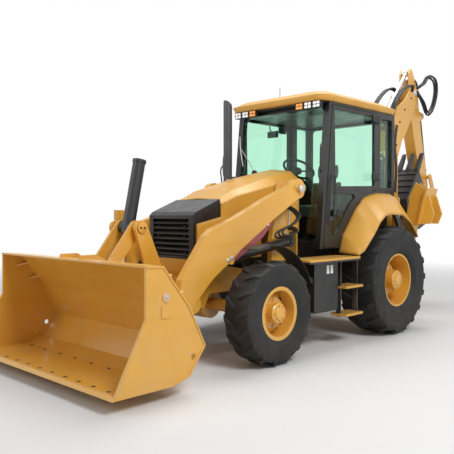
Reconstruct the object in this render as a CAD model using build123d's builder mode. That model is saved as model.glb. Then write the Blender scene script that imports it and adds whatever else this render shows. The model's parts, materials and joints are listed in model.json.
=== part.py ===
from build123d import *
from math import radians, tan
import os

# Backhoe loader, full size, in millimetres.
# +X is forward, +Y is the machine's left and +Z is up. The origin lies on the ground,
# under the middle of the machine's outer box.
# Side outlines are (ahead of the rear axle, above the ground).
# Cross outlines are (to the left, above the ground).

# ---------------------------------------------------------------- driving dimensions
axle_rear_x = -655.5
wheelbase = 2200.0
pin_fit = 0.05                     # radial clearance of a pin that turns in its hole
running_gap = 6.0                  # side clearance between pieces that move past each other

# Wheels
front_tyre_radius = 497.0
front_tyre_width = 318.0
front_rim_radius = 229.0
front_track = 1844.0
rear_tyre_radius = 645.0
rear_tyre_width = 490.0
rear_rim_radius = 305.0
rear_track = 1714.0
lug_height = 30.0
king_pin_inset = 217.0             # from the middle of the front tyre in to its king pin
king_pin_y = front_track / 2 - king_pin_inset
king_pin_radius = 30.0

# Main frame
rail_y = 310.0                     # middle of each rail
rail_thickness = 50.0
rail_low = 560.0
rail_high = 860.0
frame_front = 2690.0
nose_low = 490.0

# Loader
arm_y = 640.0                      # middle of each loader arm
arm_thickness = 80.0
tower_y = 450.0
tower_thickness = 60.0
tower_top = 1785.0
loader_pin_radius = 45.0
lift_base_pin_radius = 32.0
lift_boss_radius = 36.0
loader_pivot = (1433.0, 1698.0)
lift_pin = (2458.0, 985.0)
lift_base = (1430.0, 1135.0)
tilt_apex = (3160.0, 1300.0)
bucket_link_pin = (3400.0, 995.0)
bucket_hinge = (3150.0, 350.0)
tilt_top = (3022.0, 1945.0)
tilt_rod_length = 760.0
bucket_half_width = 1158.0
bucket_sheet = 14.0
bucket_side = 20.0
wedge_thickness = 8.0
cutting_edge_x = 4157.0
bucket_floor_z = 109.0

# Hood and grille
hood_front = 2268.0
hood_rear = 1075.0
grille_front = 2640.0
grille_half_width = 335.0
grille_low = 985.0
hood_sheet = 10.0
stack_x = 1360.0
stack_y = -tower_y
stack_radius = 52.0
stack_foot = tower_top

# Cab
cab_half_width = 690.0
cab_floor = 1000.0
cab_top = 2700.0
cab_front_low = 1065.0
cab_front_high = 890.0
cab_rear = -545.0
post = 70.0
glass_thickness = 8.0
roof_half_width = 735.0
roof_top = 2820.0
door_hinge_x = -105.0
door_thickness = 36.0
hinge_axis_x = -118.0
hinge_axis_y = 706.0
hinge_pin_radius = 9.0
hinge_heights = (1885.0, 2590.0)

# Backhoe
swing_axis_x = -1400.0
boom_foot = (-1620.0, 1020.0)
stick_pivot = (-2192.0, 3298.0)
stick_eye = (-2110.0, 3600.0)
bucket_pivot = (-2600.0, 1620.0)
boom_half_width = 120.0
stick_half_width = 84.0
dig_bucket_half_width = 250.0

# Stabilizers
stabilizer_x = -980.0
stabilizer_pivot = (560.0, 640.0)  # (to the left, above the ground)
stabilizer_pad_pin = (760.0, 1590.0)
stabilizer_ram_base = (400.0, 1600.0)
stabilizer_ram_eye = (640.0, 950.0)
leg_half_gap = 75.0
leg_plate_gap = leg_half_gap + 36  # from the leg's middle to the middle of each frame plate
leg_pin_half = leg_plate_gap + 10
stabilizer_pin_radius = 30.0
stabilizer_ram_pin_radius = 22.0
swing_pin_radius = 45.0
frame_rear = stabilizer_x + leg_pin_half


# ---------------------------------------------------------------- frames of reference
def side_plane(y):
    """The side view at y, where sketches use (ahead of the rear axle, above the ground)."""
    return Plane(origin=(axle_rear_x, y, 0), x_dir=(1, 0, 0), z_dir=(0, -1, 0))


def cross_plane(x):
    """The rear view at x ahead of the rear axle; sketches use (to the left, above the ground)."""
    return Plane(origin=(axle_rear_x + x, 0, 0), x_dir=(0, 1, 0), z_dir=(1, 0, 0))


def place(point, y=0.0):
    """A side-view point at y, as a point of the machine."""
    return Vector(axle_rear_x + point[0], y, point[1])


def between(a, b, share):
    """The point that lies a given share of the way from a to b."""
    return (a[0] + (b[0] - a[0]) * share, a[1] + (b[1] - a[1]) * share)


# ---------------------------------------------------------------- repeated shapes
def outline(plane, points, radius=0.0, grow=0.0):
    """A closed straight-sided face, grown all round, with every corner rounded by radius."""
    with BuildSketch(plane) as face:
        with BuildLine():
            Polyline(*points, close=True)
        make_face()
        if grow:
            offset(amount=grow, kind=Kind.INTERSECTION)
        if radius:
            fillet(face.vertices(), radius)
    return face.sketch


def disc(plane, point, radius):
    """A round face."""
    with BuildSketch(plane) as face:
        with Locations(point):
            Circle(radius)
    return face.sketch


def strap(plane, a, b, radius_a, radius_b):
    """A link outline: two round ends joined by their tangents."""
    with BuildSketch(plane) as face:
        with Locations(a):
            Circle(radius_a)
        with Locations(b):
            Circle(radius_b)
        make_hull()
    return face.sketch


def bar(start, end, radius):
    """A round bar between two points of the machine."""
    with BuildPart() as piece:
        with BuildSketch(Plane(origin=start, z_dir=end - start)):
            Circle(radius)
        extrude(amount=(end - start).length)
    return piece.part


def barrel_and_rod(start, end, turn, bore, rod, barrel_share, rod_share, retract, base_eye, rod_eye, width):
    """A hydraulic cylinder's barrel and rod, between two points of the machine.

    Turn is the direction of its pins. Barrel share is where the barrel ends, and rod share is
    where the rod begins inside it, as shares of the distance between the pins. Retract is how much
    farther the rod slides in.
    """
    along = end - start
    mouth = start + along * barrel_share
    unit = along.normalized()
    eyes = [Plane(origin=point - turn * (width / 2), z_dir=turn) for point in (start, end)]
    with BuildPart() as barrel:
        add(bar(start + unit * (base_eye * 0.6), mouth, bore))
        add(bar(mouth - unit * 45, mouth, bore * 1.12))
        extrude(disc(eyes[0], (0, 0), base_eye), amount=width)
        add(bar(start + along * rod_share - unit * (retract + 8), mouth + unit, rod + pin_fit),
            mode=Mode.SUBTRACT)
    with BuildPart() as piston_rod:
        add(bar(start + along * rod_share, end - unit * (rod_eye * 0.6), rod))
        extrude(disc(eyes[1], (0, 0), rod_eye), amount=width)
    return barrel.part, piston_rod.part


def finish(piece, name):
    """Name a finished piece and write it."""
    piece.part.label = name
    export_step(piece.part, "parts/" + name + ".step")


os.makedirs("parts", exist_ok=True)

# ---------------------------------------------------------------- wheels
def wheel(name, x, y, radius, width, rim_radius, lugs, hub_radius, inner_reach):
    """A tyre with two rows of slanted lugs on a dished rim; y is signed, and its side is outward."""
    out = 1 if y > 0 else -1
    tread = radius - lug_height
    bead = 0.36 * width
    seat_radius = rim_radius + 0.2
    centre = place((x, radius), y)
    section = Plane(origin=centre, x_dir=(1, 0, 0), z_dir=(0, 0, 1))
    axis = Axis(centre, (0, 1, 0))
    half_pitch = 180.0 / lugs
    lug_length = 0.052 * radius
    lug_top = (radius ** 2 - (0.19 * radius) ** 2) ** 0.5
    with BuildPart() as tyre:
        with BuildSketch(section):
            with BuildLine():
                Polyline((seat_radius + 26, -0.42 * width), (seat_radius + 24, -bead - 9.7),
                         (seat_radius, -bead + 0.3), (seat_radius, bead - 0.3),
                         (seat_radius + 24, bead + 9.7), (seat_radius + 26, 0.42 * width),
                         ((rim_radius + tread) / 2, 0.5 * width), (0.97 * tread, 0.46 * width),
                         (tread, 0.2 * width), (tread, -0.2 * width), (0.97 * tread, -0.46 * width),
                         ((rim_radius + tread) / 2, -0.5 * width), close=True)
            make_face()
        revolve(axis=axis)
    # One lug of each row, drawn flat under the tyre's lowest point.
    blocks = []
    for side in (1, -1):
        foot = Plane(origin=centre - Vector(0, 0, tread - 0.06 * radius), x_dir=(1, 0, 0), z_dir=(0, 0, -1))
        with BuildPart() as lug:
            with BuildSketch(foot):
                with BuildLine():
                    Polyline((-lug_length / 2, side * 6), (lug_length / 2, side * 6),
                             (0.19 * radius, side * 0.5 * width),
                             (0.19 * radius - 1.5 * lug_length, side * 0.5 * width),
                             close=True)
                make_face()
            extrude(amount=lug_top - tread + 0.06 * radius)
            # Slope the outer end down to the shoulder.
            with BuildSketch(Plane(origin=centre - Vector(radius, 0, 0), x_dir=(0, 1, 0), z_dir=(1, 0, 0))):
                with BuildLine():
                    Polyline((side * 0.34 * width, -radius - 2), (side * 0.55 * width, -radius - 2),
                             (side * 0.55 * width, lug_height - radius), close=True)
                make_face()
            extrude(amount=2 * radius, mode=Mode.SUBTRACT)
        blocks += [lug.part.rotate(axis, step * 360.0 / lugs + (half_pitch if side < 0 else 0))
                   for step in range(lugs)]
    with BuildPart() as shod:
        add(tyre.part)
        add(blocks)
    finish(shod, "tyre_" + name)

    sheet = 12.0
    flange = rim_radius + 24
    dish = 0.10 * width * out
    with BuildPart() as rim:
        with BuildSketch(section):
            with BuildLine():
                Polyline((rim_radius, -bead), (flange, -bead - 10), (flange, -bead - 22),
                         (rim_radius - sheet, -bead - 18), (rim_radius - sheet, bead + 18),
                         (flange, bead + 22), (flange, bead + 10), (rim_radius, bead),
                         close=True)
            make_face()
        revolve(axis=axis)
        with BuildSketch(section):
            with BuildLine():
                Polyline((0, dish - 14), (hub_radius * 1.5, dish - 14), (rim_radius - sheet, -dish - 14),
                         (rim_radius - sheet, -dish + 14), (hub_radius * 1.5, dish + 14),
                         (0, dish + 14), close=True)
            make_face()
        revolve(axis=axis)
        with BuildSketch(section):
            with BuildLine():
                Polyline((0, inner_reach * out), (hub_radius * 0.9, inner_reach * out),
                         (hub_radius * 0.9, dish), (hub_radius, dish),
                         (hub_radius, (bead + 4) * out), (hub_radius - 12, (bead + 16) * out),
                         (0, (bead + 16) * out), close=True)
            make_face()
        revolve(axis=axis)
    finish(rim, "rim_" + name)


front_axle_point = (wheelbase, front_tyre_radius)
rear_axle_point = (0.0, rear_tyre_radius)
wheels = (
    # name, x, y, radius, width, rim radius, lugs, hub radius, inner end of the hub
    ("front_left", wheelbase, front_track / 2, front_tyre_radius, front_tyre_width,
     front_rim_radius, 16, 100.0, -40.0),
    ("front_right", wheelbase, -front_track / 2, front_tyre_radius, front_tyre_width,
     front_rim_radius, 16, 100.0, -40.0),
    ("rear_left", 0.0, rear_track / 2, rear_tyre_radius, rear_tyre_width,
     rear_rim_radius, 18, 112.0, -100.0),
    ("rear_right", 0.0, -rear_track / 2, rear_tyre_radius, rear_tyre_width,
     rear_rim_radius, 18, 112.0, -100.0),
)
for row in wheels:
    wheel(*row)


# ---------------------------------------------------------------- axles and steering knuckles
with BuildPart() as rear_axle:
    hub_face = rear_track / 2 - 100.0 - running_gap
    add(bar(place(rear_axle_point, -hub_face), place(rear_axle_point, hub_face), 95.0))
    with BuildSketch(side_plane(170)):
        with Locations(rear_axle_point):
            Circle(205)
    extrude(amount=340)
    for side in (1, -1):
        add(bar(place(rear_axle_point, side * (hub_face - 130)), place(rear_axle_point, side * hub_face), 150.0))
finish(rear_axle, "rear_axle")

knuckle_half_height = 125.0
axle_housing_y = 130.0
axle_housing_radius = 150.0
with BuildPart() as front_axle:
    beam_end = king_pin_y - 75
    add(bar(place(front_axle_point, -beam_end), place(front_axle_point, beam_end), 62.0))
    extrude(disc(side_plane(axle_housing_y), front_axle_point, axle_housing_radius),
            amount=2 * axle_housing_y)
    for side in (1, -1):
        centre = place(front_axle_point, side * king_pin_y)
        with Locations((centre.X, centre.Y - side * 40, centre.Z)):
            Box(120, 120, 2 * knuckle_half_height - 60)
        with Locations(centre):
            Cylinder(king_pin_radius, 2 * knuckle_half_height + 30)
    # Steering cylinder across the front of the axle, with its two bare rods.
    ram = (front_axle_point[0] + 175, front_axle_point[1] + 30)
    add(bar(place(ram, -180), place(ram, 180), 42.0))
    with Locations(place(between(front_axle_point, ram, 0.6))):
        Box(150, 120, 70)
finish(front_axle, "front_axle")

for name, side in (("left", 1), ("right", -1)):
    centre = place(front_axle_point, side * king_pin_y)
    spindle_end = place(front_axle_point, side * (front_track / 2 - 40.0 - running_gap))
    with BuildPart() as knuckle:
        for end in (1, -1):
            with Locations((centre.X, centre.Y + side * 10, centre.Z + end * (knuckle_half_height - 5))):
                Box(110, 110, 50)
        with Locations((centre.X, centre.Y + side * 85, centre.Z)):
            Box(110, 40, 2 * knuckle_half_height + 40)
        add(bar(centre + Vector(0, side * 70, 0), spindle_end, 82.0))
        with Locations(centre):
            Cylinder(king_pin_radius + pin_fit, 400, mode=Mode.SUBTRACT)
    finish(knuckle, "knuckle_" + name)


# ---------------------------------------------------------------- hood sections
def hood_section(x, half_width, top, low, corner):
    """One cross section of the hood: flat sides and a crowned, rounded top."""
    with BuildSketch(cross_plane(x)) as section:
        with BuildLine():
            Polyline((-half_width, low), (-half_width, top - corner),
                     (-half_width + corner, top - corner * 0.25), (0, top),
                     (half_width - corner, top - corner * 0.25),
                     (half_width, top - corner), (half_width, low), close=True)
        make_face()
    return section.sketch


hood_stations = (
    # x, half width, top, low edge, corner
    (hood_front, 345.0, 1590.0, 1290.0, 60.0),
    (2055.0, 370.0, 1695.0, 1270.0, 80.0),
    (1420.0, 405.0, 1880.0, 1230.0, 120.0),
    (hood_rear, 405.0, 1955.0, 1230.0, 130.0),
)
with BuildPart() as hood_core:
    # The space inside the hood's sheet, a little longer than the hood.
    loft([hood_section(x + over, half - hood_sheet, top - hood_sheet, low - 5, corner)
          for (x, half, top, low, corner), over in zip(hood_stations, (1, 0, 0, -1))], ruled=True)


# ---------------------------------------------------------------- main frame and loader towers
with BuildPart() as main_frame:
    rail_outline = [(frame_rear, rail_low), (1500, rail_low), (1900, 640), (2420, 640), (2500, nose_low),
                    (frame_front, nose_low + 90), (frame_front - 60, 800), (2420, 940), (1950, rail_high),
                    (frame_rear, rail_high)]
    for side in (1, -1):
        extrude(outline(side_plane(side * rail_y + rail_thickness / 2), rail_outline),
                amount=rail_thickness)
    add(bar(place(rear_axle_point, -rail_y - 30), place(rear_axle_point, rail_y + 30), 95.3),
        mode=Mode.SUBTRACT)
    # Cross members, as (x, low z, high z, thickness).
    for x, low, high, thickness in ((frame_front - 60, nose_low + 90, 800, 40), (1850, 680, 840, 60),
                                    (300, rail_low + 180, rail_high, 40), (-500, rail_low, rail_high, 40)):
        with Locations(place((x, (low + high) / 2))):
            Box(thickness, 2 * rail_y, high - low)
    # Cradle over the front axle, with a saddle that the axle's housing sits in.
    with Locations(place((wheelbase, 735))):
        Box(300, 2 * rail_y, 120)
    with Locations(place((wheelbase, 655))):
        Box(160, 2 * axle_housing_y, 60)
    extrude(disc(side_plane(axle_housing_y + 1), front_axle_point, axle_housing_radius),
            amount=2 * axle_housing_y + 2, mode=Mode.SUBTRACT)
    # Bulkheads that fill the hood's section, down to the rails: the front one is the radiator.
    for x, thickness, width, foot, inner in ((2238, 44, 2 * grille_half_width, 880, 0),
                                             (1100, 20, 900, 850, 290)):
        with BuildPart(mode=Mode.PRIVATE) as slab:
            with Locations(place((x, 1600))):
                Box(thickness, width, 900)
            add(hood_core.part, mode=Mode.INTERSECT)
        add(slab.part)
        half = slab.part.bounding_box().max.Y
        with Locations(place((x, (foot + 1240) / 2))):
            Box(thickness, 2 * half, 1240 - foot)
        if inner:
            with Locations(place((x, (foot + 975) / 2 - 1))):
                Box(thickness, 2 * inner, 977 - foot, mode=Mode.SUBTRACT)
    # Sill that the grille stands on.
    extrude(outline(side_plane(grille_half_width), [(2400, 900), (frame_front - 70, 760), (grille_front, 860),
                                                    (grille_front, grille_low), (2400, grille_low)]),
            amount=2 * grille_half_width)
    # Loader towers on their cross beams.
    tower_outline = [(1345, 620), (1345, tower_top - 35), (1385, tower_top), (1485, tower_top), (1560, 1600),
                     (1640, 1150), (1640, 620)]
    for side in (1, -1):
        face = side * tower_y + tower_thickness / 2
        extrude(outline(side_plane(face), tower_outline), amount=tower_thickness)
        with Locations(place((1490, 730), side * (rail_y + tower_y) / 2)):
            Box(240, tower_y - rail_y, 200)
        for point, radius in ((loader_pivot, loader_pin_radius), (lift_base, lift_base_pin_radius)):
            extrude(disc(side_plane(face + 1), point, radius + pin_fit), amount=tower_thickness + 2,
                    mode=Mode.SUBTRACT)
finish(main_frame, "main_frame")

with BuildPart() as rear_frame:
    # An upright channel each side for the stabilizers.
    for side in (1, -1):
        for end in (1, -1):
            with BuildSketch(cross_plane(stabilizer_x + end * leg_plate_gap - 10)):
                with BuildLine():
                    Polyline(*[(side * y, z) for y, z in
                               ((300, 485), (stabilizer_pivot[0] + 60, 560), (stabilizer_pivot[0] + 60, 720),
                                (465, 760), (465, 1640), (430, 1680), (335, 1680), (335, 1235), (300, 1235))],
                             close=True)
                make_face()
            extrude(amount=20)
        with Locations(place((stabilizer_x, 1080), side * 345)):
            Box(2 * leg_plate_gap - 12, 20, 1190)
        for point, radius in ((stabilizer_pivot, stabilizer_pin_radius),
                              (stabilizer_ram_base, stabilizer_ram_pin_radius)):
            extrude(disc(cross_plane(frame_rear - 2 * leg_pin_half - 1), (side * point[0], point[1]),
                         radius + pin_fit), amount=2 * leg_pin_half + 2, mode=Mode.SUBTRACT)
    # Two plates that hold the swing pin.
    for z in (530, 1190):
        with Locations(place((stabilizer_x, z))):
            Box(2 * leg_pin_half, 690, 90)
        with BuildSketch(Plane.XY.offset(z - 35)):
            with Locations((axle_rear_x + swing_axis_x, 0), (axle_rear_x + swing_axis_x + 200, 0)):
                Circle(90)
            make_hull()
        extrude(amount=70)
        with BuildSketch(Plane.XY.offset(z - 35)):
            with Locations((axle_rear_x + swing_axis_x + 200, 0)):
                Circle(90)
            with Locations((axle_rear_x + stabilizer_x - 60, 0)):
                Rectangle(60, 560)
            make_hull()
        extrude(amount=70)
    with Locations(place((swing_axis_x, 860))):
        Cylinder(swing_pin_radius + pin_fit, 900, mode=Mode.SUBTRACT)
finish(rear_frame, "rear_frame")

with BuildPart() as drivetrain:
    # Engine block, gearbox and the shaft to the rear axle, with their mounts on the rails.
    with Locations(place((1880, 1110))):
        Box(660, 440, 520)
    with Locations(place((1230, 760))):
        Box(640, 420, 420)
    add(bar(place((207, 650)), place((920, 700)), 45.0))
    rail_inner = rail_y - rail_thickness / 2
    for side in (1, -1):
        for x in (1650, 1880):
            with Locations(place((x, rail_high + 20), side * (220 + rail_y) / 2)):
                Box(80, rail_y - 220, 40)
        with Locations(place((1230, 730), side * (210 + rail_inner) / 2)):
            Box(120, rail_inner - 210, 60)
finish(drivetrain, "drivetrain")


# ---------------------------------------------------------------- hood, grille and exhaust
with BuildPart() as hood:
    loft([hood_section(*row) for row in hood_stations], ruled=True)
    add(hood_core.part, mode=Mode.SUBTRACT)
    # Lower side panels, which run forward under the grille's side wraps.
    for side in (1, -1):
        extrude(outline(side_plane(side * (grille_half_width + 8) + 8),
                        [(1660, 970), (2600, 970), (2600, 1330), (2268, 1400), (1660, 1300)]), amount=16)
    # Hole for the exhaust's elbow.
    add(bar(place((stack_x, stack_foot + 50), -290), place((stack_x, stack_foot + 50), stack_y), 44.0),
        mode=Mode.SUBTRACT)
finish(hood, "hood")

with BuildPart() as grille:
    body = [(hood_front + 4, 1580), (grille_front - 40, 1450), (grille_front, 1415),
            (grille_front, grille_low), (grille_front - 60, grille_low), (grille_front - 60, 1330),
            (hood_front + 4, 1405)]
    extrude(outline(side_plane(grille_half_width), body), amount=2 * grille_half_width)
    # The open mouth behind the louvres.
    extrude(outline(side_plane(grille_half_width - 60),
                    [(hood_front, 1380), (grille_front - 52, 1380), (grille_front - 12, 1380),
                     (grille_front + 10, 1380), (grille_front + 10, 1010), (grille_front - 80, 1010),
                     (grille_front - 80, 1300), (hood_front, 1300)]),
            amount=2 * grille_half_width - 120, mode=Mode.SUBTRACT)
    for row in range(7):
        z = 1030 + row * 52
        extrude(outline(side_plane(grille_half_width - 50),
                        [(grille_front - 50, z + 22), (grille_front - 8, z - 14), (grille_front - 4, z - 4),
                         (grille_front - 46, z + 36)]), amount=2 * grille_half_width - 100)
finish(grille, "grille")

with BuildPart() as exhaust_stack:
    with Locations(place((stack_x, stack_foot), stack_y)):
        Cylinder(stack_radius, 1030, align=(Align.CENTER, Align.CENTER, Align.MIN))
    # Elbow, which comes out through the hood's side.
    add(bar(place((stack_x, stack_foot + 50), stack_y), place((stack_x, stack_foot + 50), -290), 38.0))
    with Locations(place((stack_x, stack_foot + 100), stack_y)):
        Cylinder(stack_radius - 4, 1000, align=(Align.CENTER, Align.CENTER, Align.MIN), mode=Mode.SUBTRACT)
    extrude(outline(side_plane(stack_y + 100), [(stack_x - 90, 2680), (stack_x + 90, 2810),
                                                (stack_x + 90, 2900), (stack_x - 90, 2900)]),
            amount=200, mode=Mode.SUBTRACT)
finish(exhaust_stack, "exhaust_stack")


# ---------------------------------------------------------------- fenders, boxes, decks and steps
fender_inner_y = cab_half_width
fender_outer_y = 1020.0
box_front = 1520.0
box_top = 925.0
box_outer_y = 950.0


fender_crest = [(690, 1005), (620, 1190), (350, 1500), (190, 1625), (60, 1665), (-110, 1690), (-420, 1690),
                (-600, 1640), (-760, 1480), (-860, 1165)]
fender_arch = [(800, 985), (700, 1020), (490, 1200), (360, 1340), (240, 1420), (110, 1440), (-180, 1430),
               (-375, 1335), (-500, 1230), (-557, 1165)]


def wheel_house(points, low, inset, rear_low=None):
    """The fender's side outline, drawn in towards the wheel by inset and closed at its low ends."""
    share = 1 - inset / 620
    inner = [(x * share, 900 + (z - 900) * share) for x, z in points]
    return [(inner[0][0], low)] + inner + [(inner[-1][0], rear_low or low)]


def rear_fender_half(side):
    """A sheet fender whose face slopes down from the cab side to the wheel arch."""
    with BuildPart() as piece:
        loft([outline(side_plane(side * fender_inner_y), wheel_house(fender_crest, 980, 0, 1140)),
              outline(side_plane(side * fender_outer_y), wheel_house(fender_arch, 970, 0, 1140))],
             ruled=True)
        loft([outline(side_plane(side * (fender_inner_y - 2)), wheel_house(fender_crest, 900, 22, 1060)),
              outline(side_plane(side * (fender_outer_y + 1)), wheel_house(fender_arch, 900, 22, 1060))],
             ruled=True, mode=Mode.SUBTRACT)
    return piece.part


with BuildPart() as rear_fenders:
    add(rear_fender_half(1))
    add(rear_fender_half(-1))
finish(rear_fenders, "rear_fenders")

front_fender_radius = 632.0
with BuildPart() as front_fenders:
    for side in (1, -1):
        with BuildSketch(side_plane(side * 875 + 100)):
            with Locations(front_axle_point):
                Circle(front_fender_radius + 6)
                Circle(front_fender_radius, mode=Mode.SUBTRACT)
            with Locations((wheelbase - 300, front_tyre_radius + 450)):
                Rectangle(1000, 420, mode=Mode.INTERSECT)
        extrude(amount=200)
        # Stay from the box behind the wheel up to the fender.
        extrude(outline(side_plane(side * 875 + 60), [(box_front, 700), (wheelbase - 563, 790),
                                                      (wheelbase - 541, 830), (box_front, 760)]),
                amount=120)
finish(front_fenders, "front_fenders")

box_outline = [(box_front - 420, 400), (box_front, 400), (box_front, box_top), (box_front - 420, box_top)]
tower_face = tower_y + tower_thickness / 2
with BuildPart() as side_boxes:
    for side in (1, -1):
        extrude(outline(side_plane(max(side * tower_face, side * box_outer_y)), box_outline, 25),
                amount=box_outer_y - tower_face)
finish(side_boxes, "side_boxes")

deck_front = 1712.0
with BuildPart() as decks_and_steps:
    for side in (1, -1):
        middle = side * 875
        extrude(outline(side_plane(middle + 165), [(800, box_top), (deck_front, box_top),
                                                   (deck_front, box_top + 40), (800, box_top + 40)]),
                amount=330)
        # Steps, as (x, z, half length).
        for x, z in ((900, 640), (900, 340)):
            with Locations(place((x, z), middle + side * 60)):
                Box(330, 200, 26)
        for x in (740, 1060):
            with Locations(place((x, 640), middle + side * 60)):
                Box(14, 60, 640)
finish(decks_and_steps, "decks_and_steps")


# ---------------------------------------------------------------- cab
cab_outline = [(cab_rear, cab_floor + 40), (cab_front_low, cab_floor + 40), (cab_front_high, cab_top),
               (cab_rear, cab_top)]
door_outline = [(1000, 1050), (780, 1050), (640, 1235), (370, 1545), (210, 1665), (80, 1705),
                (door_hinge_x, 1725), (door_hinge_x, 2665), (835, 2665)]
quarter_outline = [(-200, 1760), (-480, 1760), (-480, 2620), (-200, 2620)]
with BuildPart() as cab_frame:
    extrude(outline(side_plane(cab_half_width), cab_outline), amount=2 * cab_half_width)
    extrude(outline(side_plane(cab_half_width - post),
                    [(cab_rear + post, cab_floor + 100), (cab_front_low - post, cab_floor + 100),
                     (cab_front_high - post, cab_top - 60), (cab_rear + post, cab_top - 60)]),
            amount=2 * (cab_half_width - post), mode=Mode.SUBTRACT)
    # Door openings, a little larger than the doors all round.
    for low in (cab_half_width - post - 2, -cab_half_width - 2):
        extrude(outline(side_plane(low + post + 4), door_outline, grow=running_gap), amount=post + 4,
                mode=Mode.SUBTRACT)
        extrude(outline(side_plane(low + post + 4), quarter_outline, 30), amount=post + 4, mode=Mode.SUBTRACT)
    # Windscreen, rear window and the arches over the rear wheels.
    with BuildSketch(cross_plane(700)):
        with Locations((0, 1880)):
            RectangleRounded(2 * cab_half_width - 150, 1520, 60)
    extrude(amount=500, mode=Mode.SUBTRACT)
    with BuildSketch(cross_plane(cab_rear - 5)):
        with Locations((0, 2180)):
            RectangleRounded(2 * cab_half_width - 190, 860, 50)
    extrude(amount=post + 10, mode=Mode.SUBTRACT)
    # Wheel houses: an arch and an inner wall each side.
    for side in (1, -1):
        for inset, low, inner, outer, mode in ((0, 980, 590, cab_half_width, Mode.ADD),
                                               (22, 900, 590, cab_half_width + 10, Mode.SUBTRACT),
                                               (0, 980, 570, 590, Mode.ADD)):
            extrude(outline(side_plane(side * (inner + outer) / 2 + (outer - inner) / 2),
                            wheel_house(fender_crest, low, inset)), amount=outer - inner, mode=mode)
    with Locations(place((cab_rear - 200, 1400))):
        Box(400, 1600, 900, mode=Mode.SUBTRACT)
    for x in (-320, 0, 320):
        with Locations(place((x, cab_floor - 50), 0)):
            Box(60, 2 * rail_y, 180)
    # Door hinge pins, each between two lugs of the rear post.
    for side in (1, -1):
        for z in hinge_heights:
            for end in (1, -1):
                with Locations(place((hinge_axis_x - 10, z + end * 38), side * (cab_half_width + 14))):
                    Box(40, 36, 14)
            with Locations(place((hinge_axis_x, z), side * hinge_axis_y)):
                Cylinder(hinge_pin_radius, 84)
finish(cab_frame, "cab_frame")

with BuildPart() as cab_roof:
    with BuildSketch(Plane.XY.offset(cab_top)):
        with Locations((axle_rear_x + 230, 0)):
            RectangleRounded(1610, 2 * roof_half_width - 60, 120)
    with BuildSketch(Plane.XY.offset(cab_top + 60)):
        with Locations((axle_rear_x + 230, 0)):
            RectangleRounded(1640, 2 * roof_half_width, 130)
    loft(ruled=True)
    with BuildSketch(Plane.XY.offset(cab_top + 60)):
        with Locations((axle_rear_x + 230, 0)):
            RectangleRounded(1640, 2 * roof_half_width, 130)
    with BuildSketch(Plane.XY.offset(roof_top)):
        with Locations((axle_rear_x + 230, 0)):
            RectangleRounded(1440, 2 * roof_half_width - 220, 120)
    loft(ruled=True)
finish(cab_roof, "cab_roof")

upper_glass = [(775, 1745), (795, 2615), (-55, 2615), (-55, 1775)]
lower_glass = [(900, 1180), (780, 1180), (470, 1560), (300, 1660), (860, 1660)]
for name, outer in (("left", cab_half_width + 4), ("right", -cab_half_width + door_thickness - 4)):
    with BuildPart() as door:
        extrude(outline(side_plane(outer), door_outline, 20), amount=door_thickness)
        for pane in (upper_glass, lower_glass):
            extrude(outline(side_plane(outer + 2), pane, 30), amount=door_thickness + 4, mode=Mode.SUBTRACT)
        # Hinge knuckles, each on a leaf that laps onto the door.
        side = 1 if outer > 0 else -1
        for z in hinge_heights:
            with Locations(place((hinge_axis_x + 40, z), side * (hinge_axis_y - 5))):
                Box(80, 14, 50)
            with Locations(place((hinge_axis_x, z), side * hinge_axis_y)):
                Cylinder(hinge_pin_radius + 7, 54)
                Cylinder(hinge_pin_radius + pin_fit, 56, mode=Mode.SUBTRACT)
    finish(door, "door_" + name)
    with BuildPart() as door_glass:
        for pane in (upper_glass, lower_glass):
            extrude(outline(side_plane(outer - door_thickness / 2 + glass_thickness / 2), pane, 30),
                    amount=glass_thickness)
    finish(door_glass, "door_glass_" + name)

with BuildPart() as cab_glass:
    # Windscreen, set in the slope of the front posts.
    slope = Plane(origin=place(between((cab_front_low, cab_floor + 40), (cab_front_high, cab_top), 0.5)),
                  x_dir=(0, 1, 0),
                  z_dir=(cab_top - cab_floor - 40, 0, cab_front_low - cab_front_high))
    with BuildSketch(slope.offset(-40)):
        with Locations((0, 10)):
            RectangleRounded(2 * cab_half_width - 152, 1500, 60)
    extrude(amount=glass_thickness)
    with BuildSketch(cross_plane(cab_rear + 30)):
        with Locations((0, 2180)):
            RectangleRounded(2 * cab_half_width - 192, 858, 49)
    extrude(amount=glass_thickness)
    for outer in (cab_half_width - 30, -cab_half_width + 30 + glass_thickness):
        extrude(outline(side_plane(outer), quarter_outline, 30), amount=glass_thickness)
finish(cab_glass, "cab_glass")

with BuildPart() as seat:
    with Locations(place((160, cab_floor + 250))):
        Box(300, 300, 300)
    with Locations(place((180, cab_floor + 460))):
        Box(480, 500, 120)
    extrude(outline(side_plane(240), [(-60, 1400), (60, 1400), (-10, 2080), (-120, 2080)], 20), amount=480)
finish(seat, "seat")

with BuildPart() as steering_console:
    extrude(outline(side_plane(90), [(700, cab_floor + 100), (880, cab_floor + 100), (760, 1700),
                                     (660, 1700)]), amount=180)
    add(bar(place((705, 1690)), place((652, 1786)), 25))
    with BuildSketch(Plane(origin=place((650, 1790)), x_dir=(0, 1, 0), z_dir=(-0.5, 0, 0.866))):
        Circle(195)
        Circle(170, mode=Mode.SUBTRACT)
        Rectangle(360, 26)
        Circle(50)
    extrude(amount=22)
    # Levers for the digging arm, behind the seat.
    for y in (-150, 150):
        add(bar(place((-330, cab_floor + 100), y), place((-330, 1560), y), 60))
finish(steering_console, "steering_console")

lamps_y = (-600.0, -480.0, -360.0, 360.0, 480.0, 600.0)
lamp_height = 84.0
with BuildPart() as lamps:
    for y in lamps_y:
        with Locations(place((cab_front_high + 105, cab_top - lamp_height / 2), y)):
            Box(60, 100, lamp_height)
finish(lamps, "lamps")


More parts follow.
